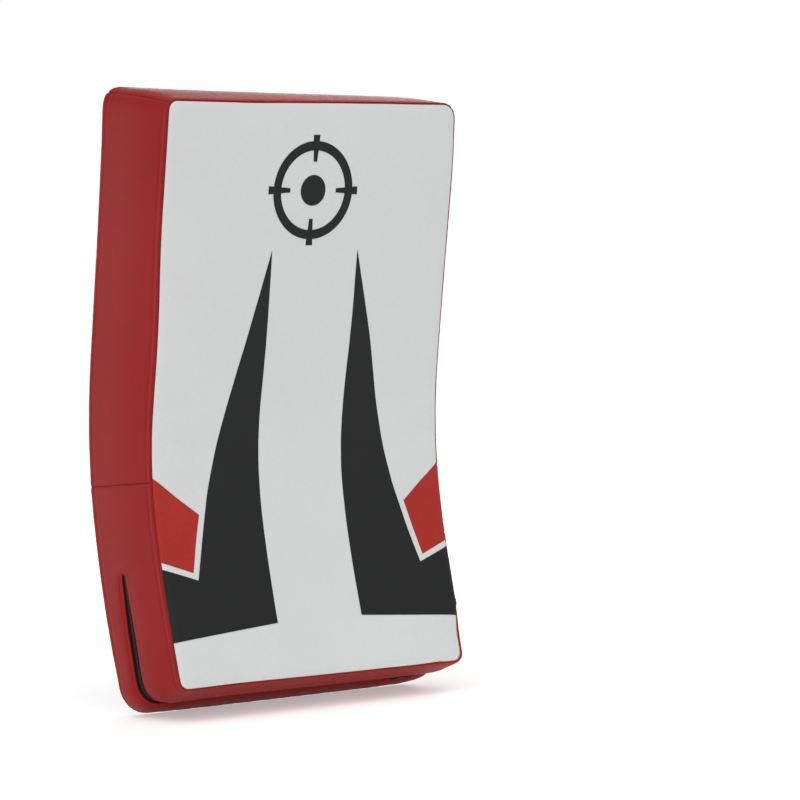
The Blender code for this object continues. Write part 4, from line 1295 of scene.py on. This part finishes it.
rings, marks = sleeve_body(1.0, 0.186, 0.0)
flat, cells = closed_tube(rings, 0.003)
points = on_handle(flat[:, 0], flat[:, 1], flat[:, 2])
weave = np.concatenate([marks[:80], marks, marks[-80:], marks[:1], marks[-1:]])
sleeve = make_piece("carry_handle_sleeve_sewn", points, cells, sleeve_cloth, weave=weave)
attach(sleeve, "carry_handle")
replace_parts(sleeve, "carry_handle_sleeve")
rings, marks = sleeve_body(0.70, 0.172, 0.0)
flat, cells = closed_tube(rings, 0.001)
filler = make_piece("carry_handle_foam", on_handle(flat[:, 0], flat[:, 1], flat[:, 2] + 0.0020), cells, soft_foam)
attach(filler, "carry_handle")
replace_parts(filler, "carry_handle_filler")


def on_anchor(x, s):
    return on_back(x, s, under + 0.0020)


anchor_lines = []
for sign in (-1, 1):
    x0, x1 = sign * 0.1085, sign * 0.1270
    s0, s1 = TOP - 0.0195, TOP + 0.0195
    anchor_lines += [((x0, s0), (x0, s1)), ((x1, s0), (x1, s1)), ((x0, s0), (x1, s0)), ((x0, s1), (x1, s1)),
                     ((x0, s0), (x1, s1)), ((x0, s1), (x1, s0))]
stitches("carry_handle_stitches", on_anchor, anchor_lines, black_thread, sunk=0.5)


# ------------------------------------------------------------------ floor and light
# A wide pale floor in an even, pale studio, with soft daylight from high on the left.

floor_mesh = bpy.data.meshes.new("studio_floor")
low_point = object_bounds()[0].z
floor_mesh.from_pydata([(x, y, low_point - 0.0003) for x, y in ((-60, -60), (60, -60), (60, 60), (-60, 60))],
                       [], [(0, 1, 2, 3)])
floor = bpy.data.objects.new("studio_floor", floor_mesh)
bpy.context.collection.objects.link(floor)
paper, shader, start = new_material("studio_paper", Roughness=0.9, Specular_IOR_Level=0.1,
                                    Emission_Strength=0.37)
cloud = start.node("TexCoord", out="Object").noise(1.5, 2.0)
glow = start.node("LightPath").mixed((0.30, 0.30, 0.30), (1, 1, 1))
floor_mesh.materials.append(coat(paper, shader, Emission_Color=glow,
                                 Base_Color=cloud.mixed((0.92, 0.92, 0.92), (0.94, 0.94, 0.94))))

world = bpy.data.worlds.new("studio")
bpy.context.scene.world = world
world.use_nodes = True
sky = world.node_tree.nodes["Background"]
sky.inputs["Color"].default_value = (1, 1, 1, 1)
seen = Paint(world.node_tree, None).node("LightPath")
world.node_tree.links.new(seen.band(0, 1, 0.43, 1.0).socket, sky.inputs["Strength"])
sun = bpy.data.lights.new("daylight", "SUN")
sun.energy, sun.angle = 1.20, math.radians(70)
sun_at = bpy.data.objects.new("daylight", sun)
bpy.context.collection.objects.link(sun_at)
sun_at.rotation_euler = (math.radians(42), 0, math.radians(-30))



def softbox(name, at, size, power):
    """A soft panel light that faces the middle of the shield and isn't seen itself."""
    light = bpy.data.lights.new(name, "AREA")
    light.shape, light.energy = "RECTANGLE", power
    light.size, light.size_y = size
    holder = bpy.data.objects.new(name, light)
    bpy.context.collection.objects.link(holder)
    holder.location = at
    holder.rotation_euler = (middle - Vector(at)).to_track_quat("-Z", "Y").to_euler()
    holder.visible_camera = False


softbox("strip_light_left", (-1.55, 1.95, 0.45), (0.45, 1.8), 3.5)
softbox("wide_light_behind", (1.7, 2.1, 0.95), (1.8, 1.0), 16)

bpy.context.scene.view_settings.view_transform = "Standard"
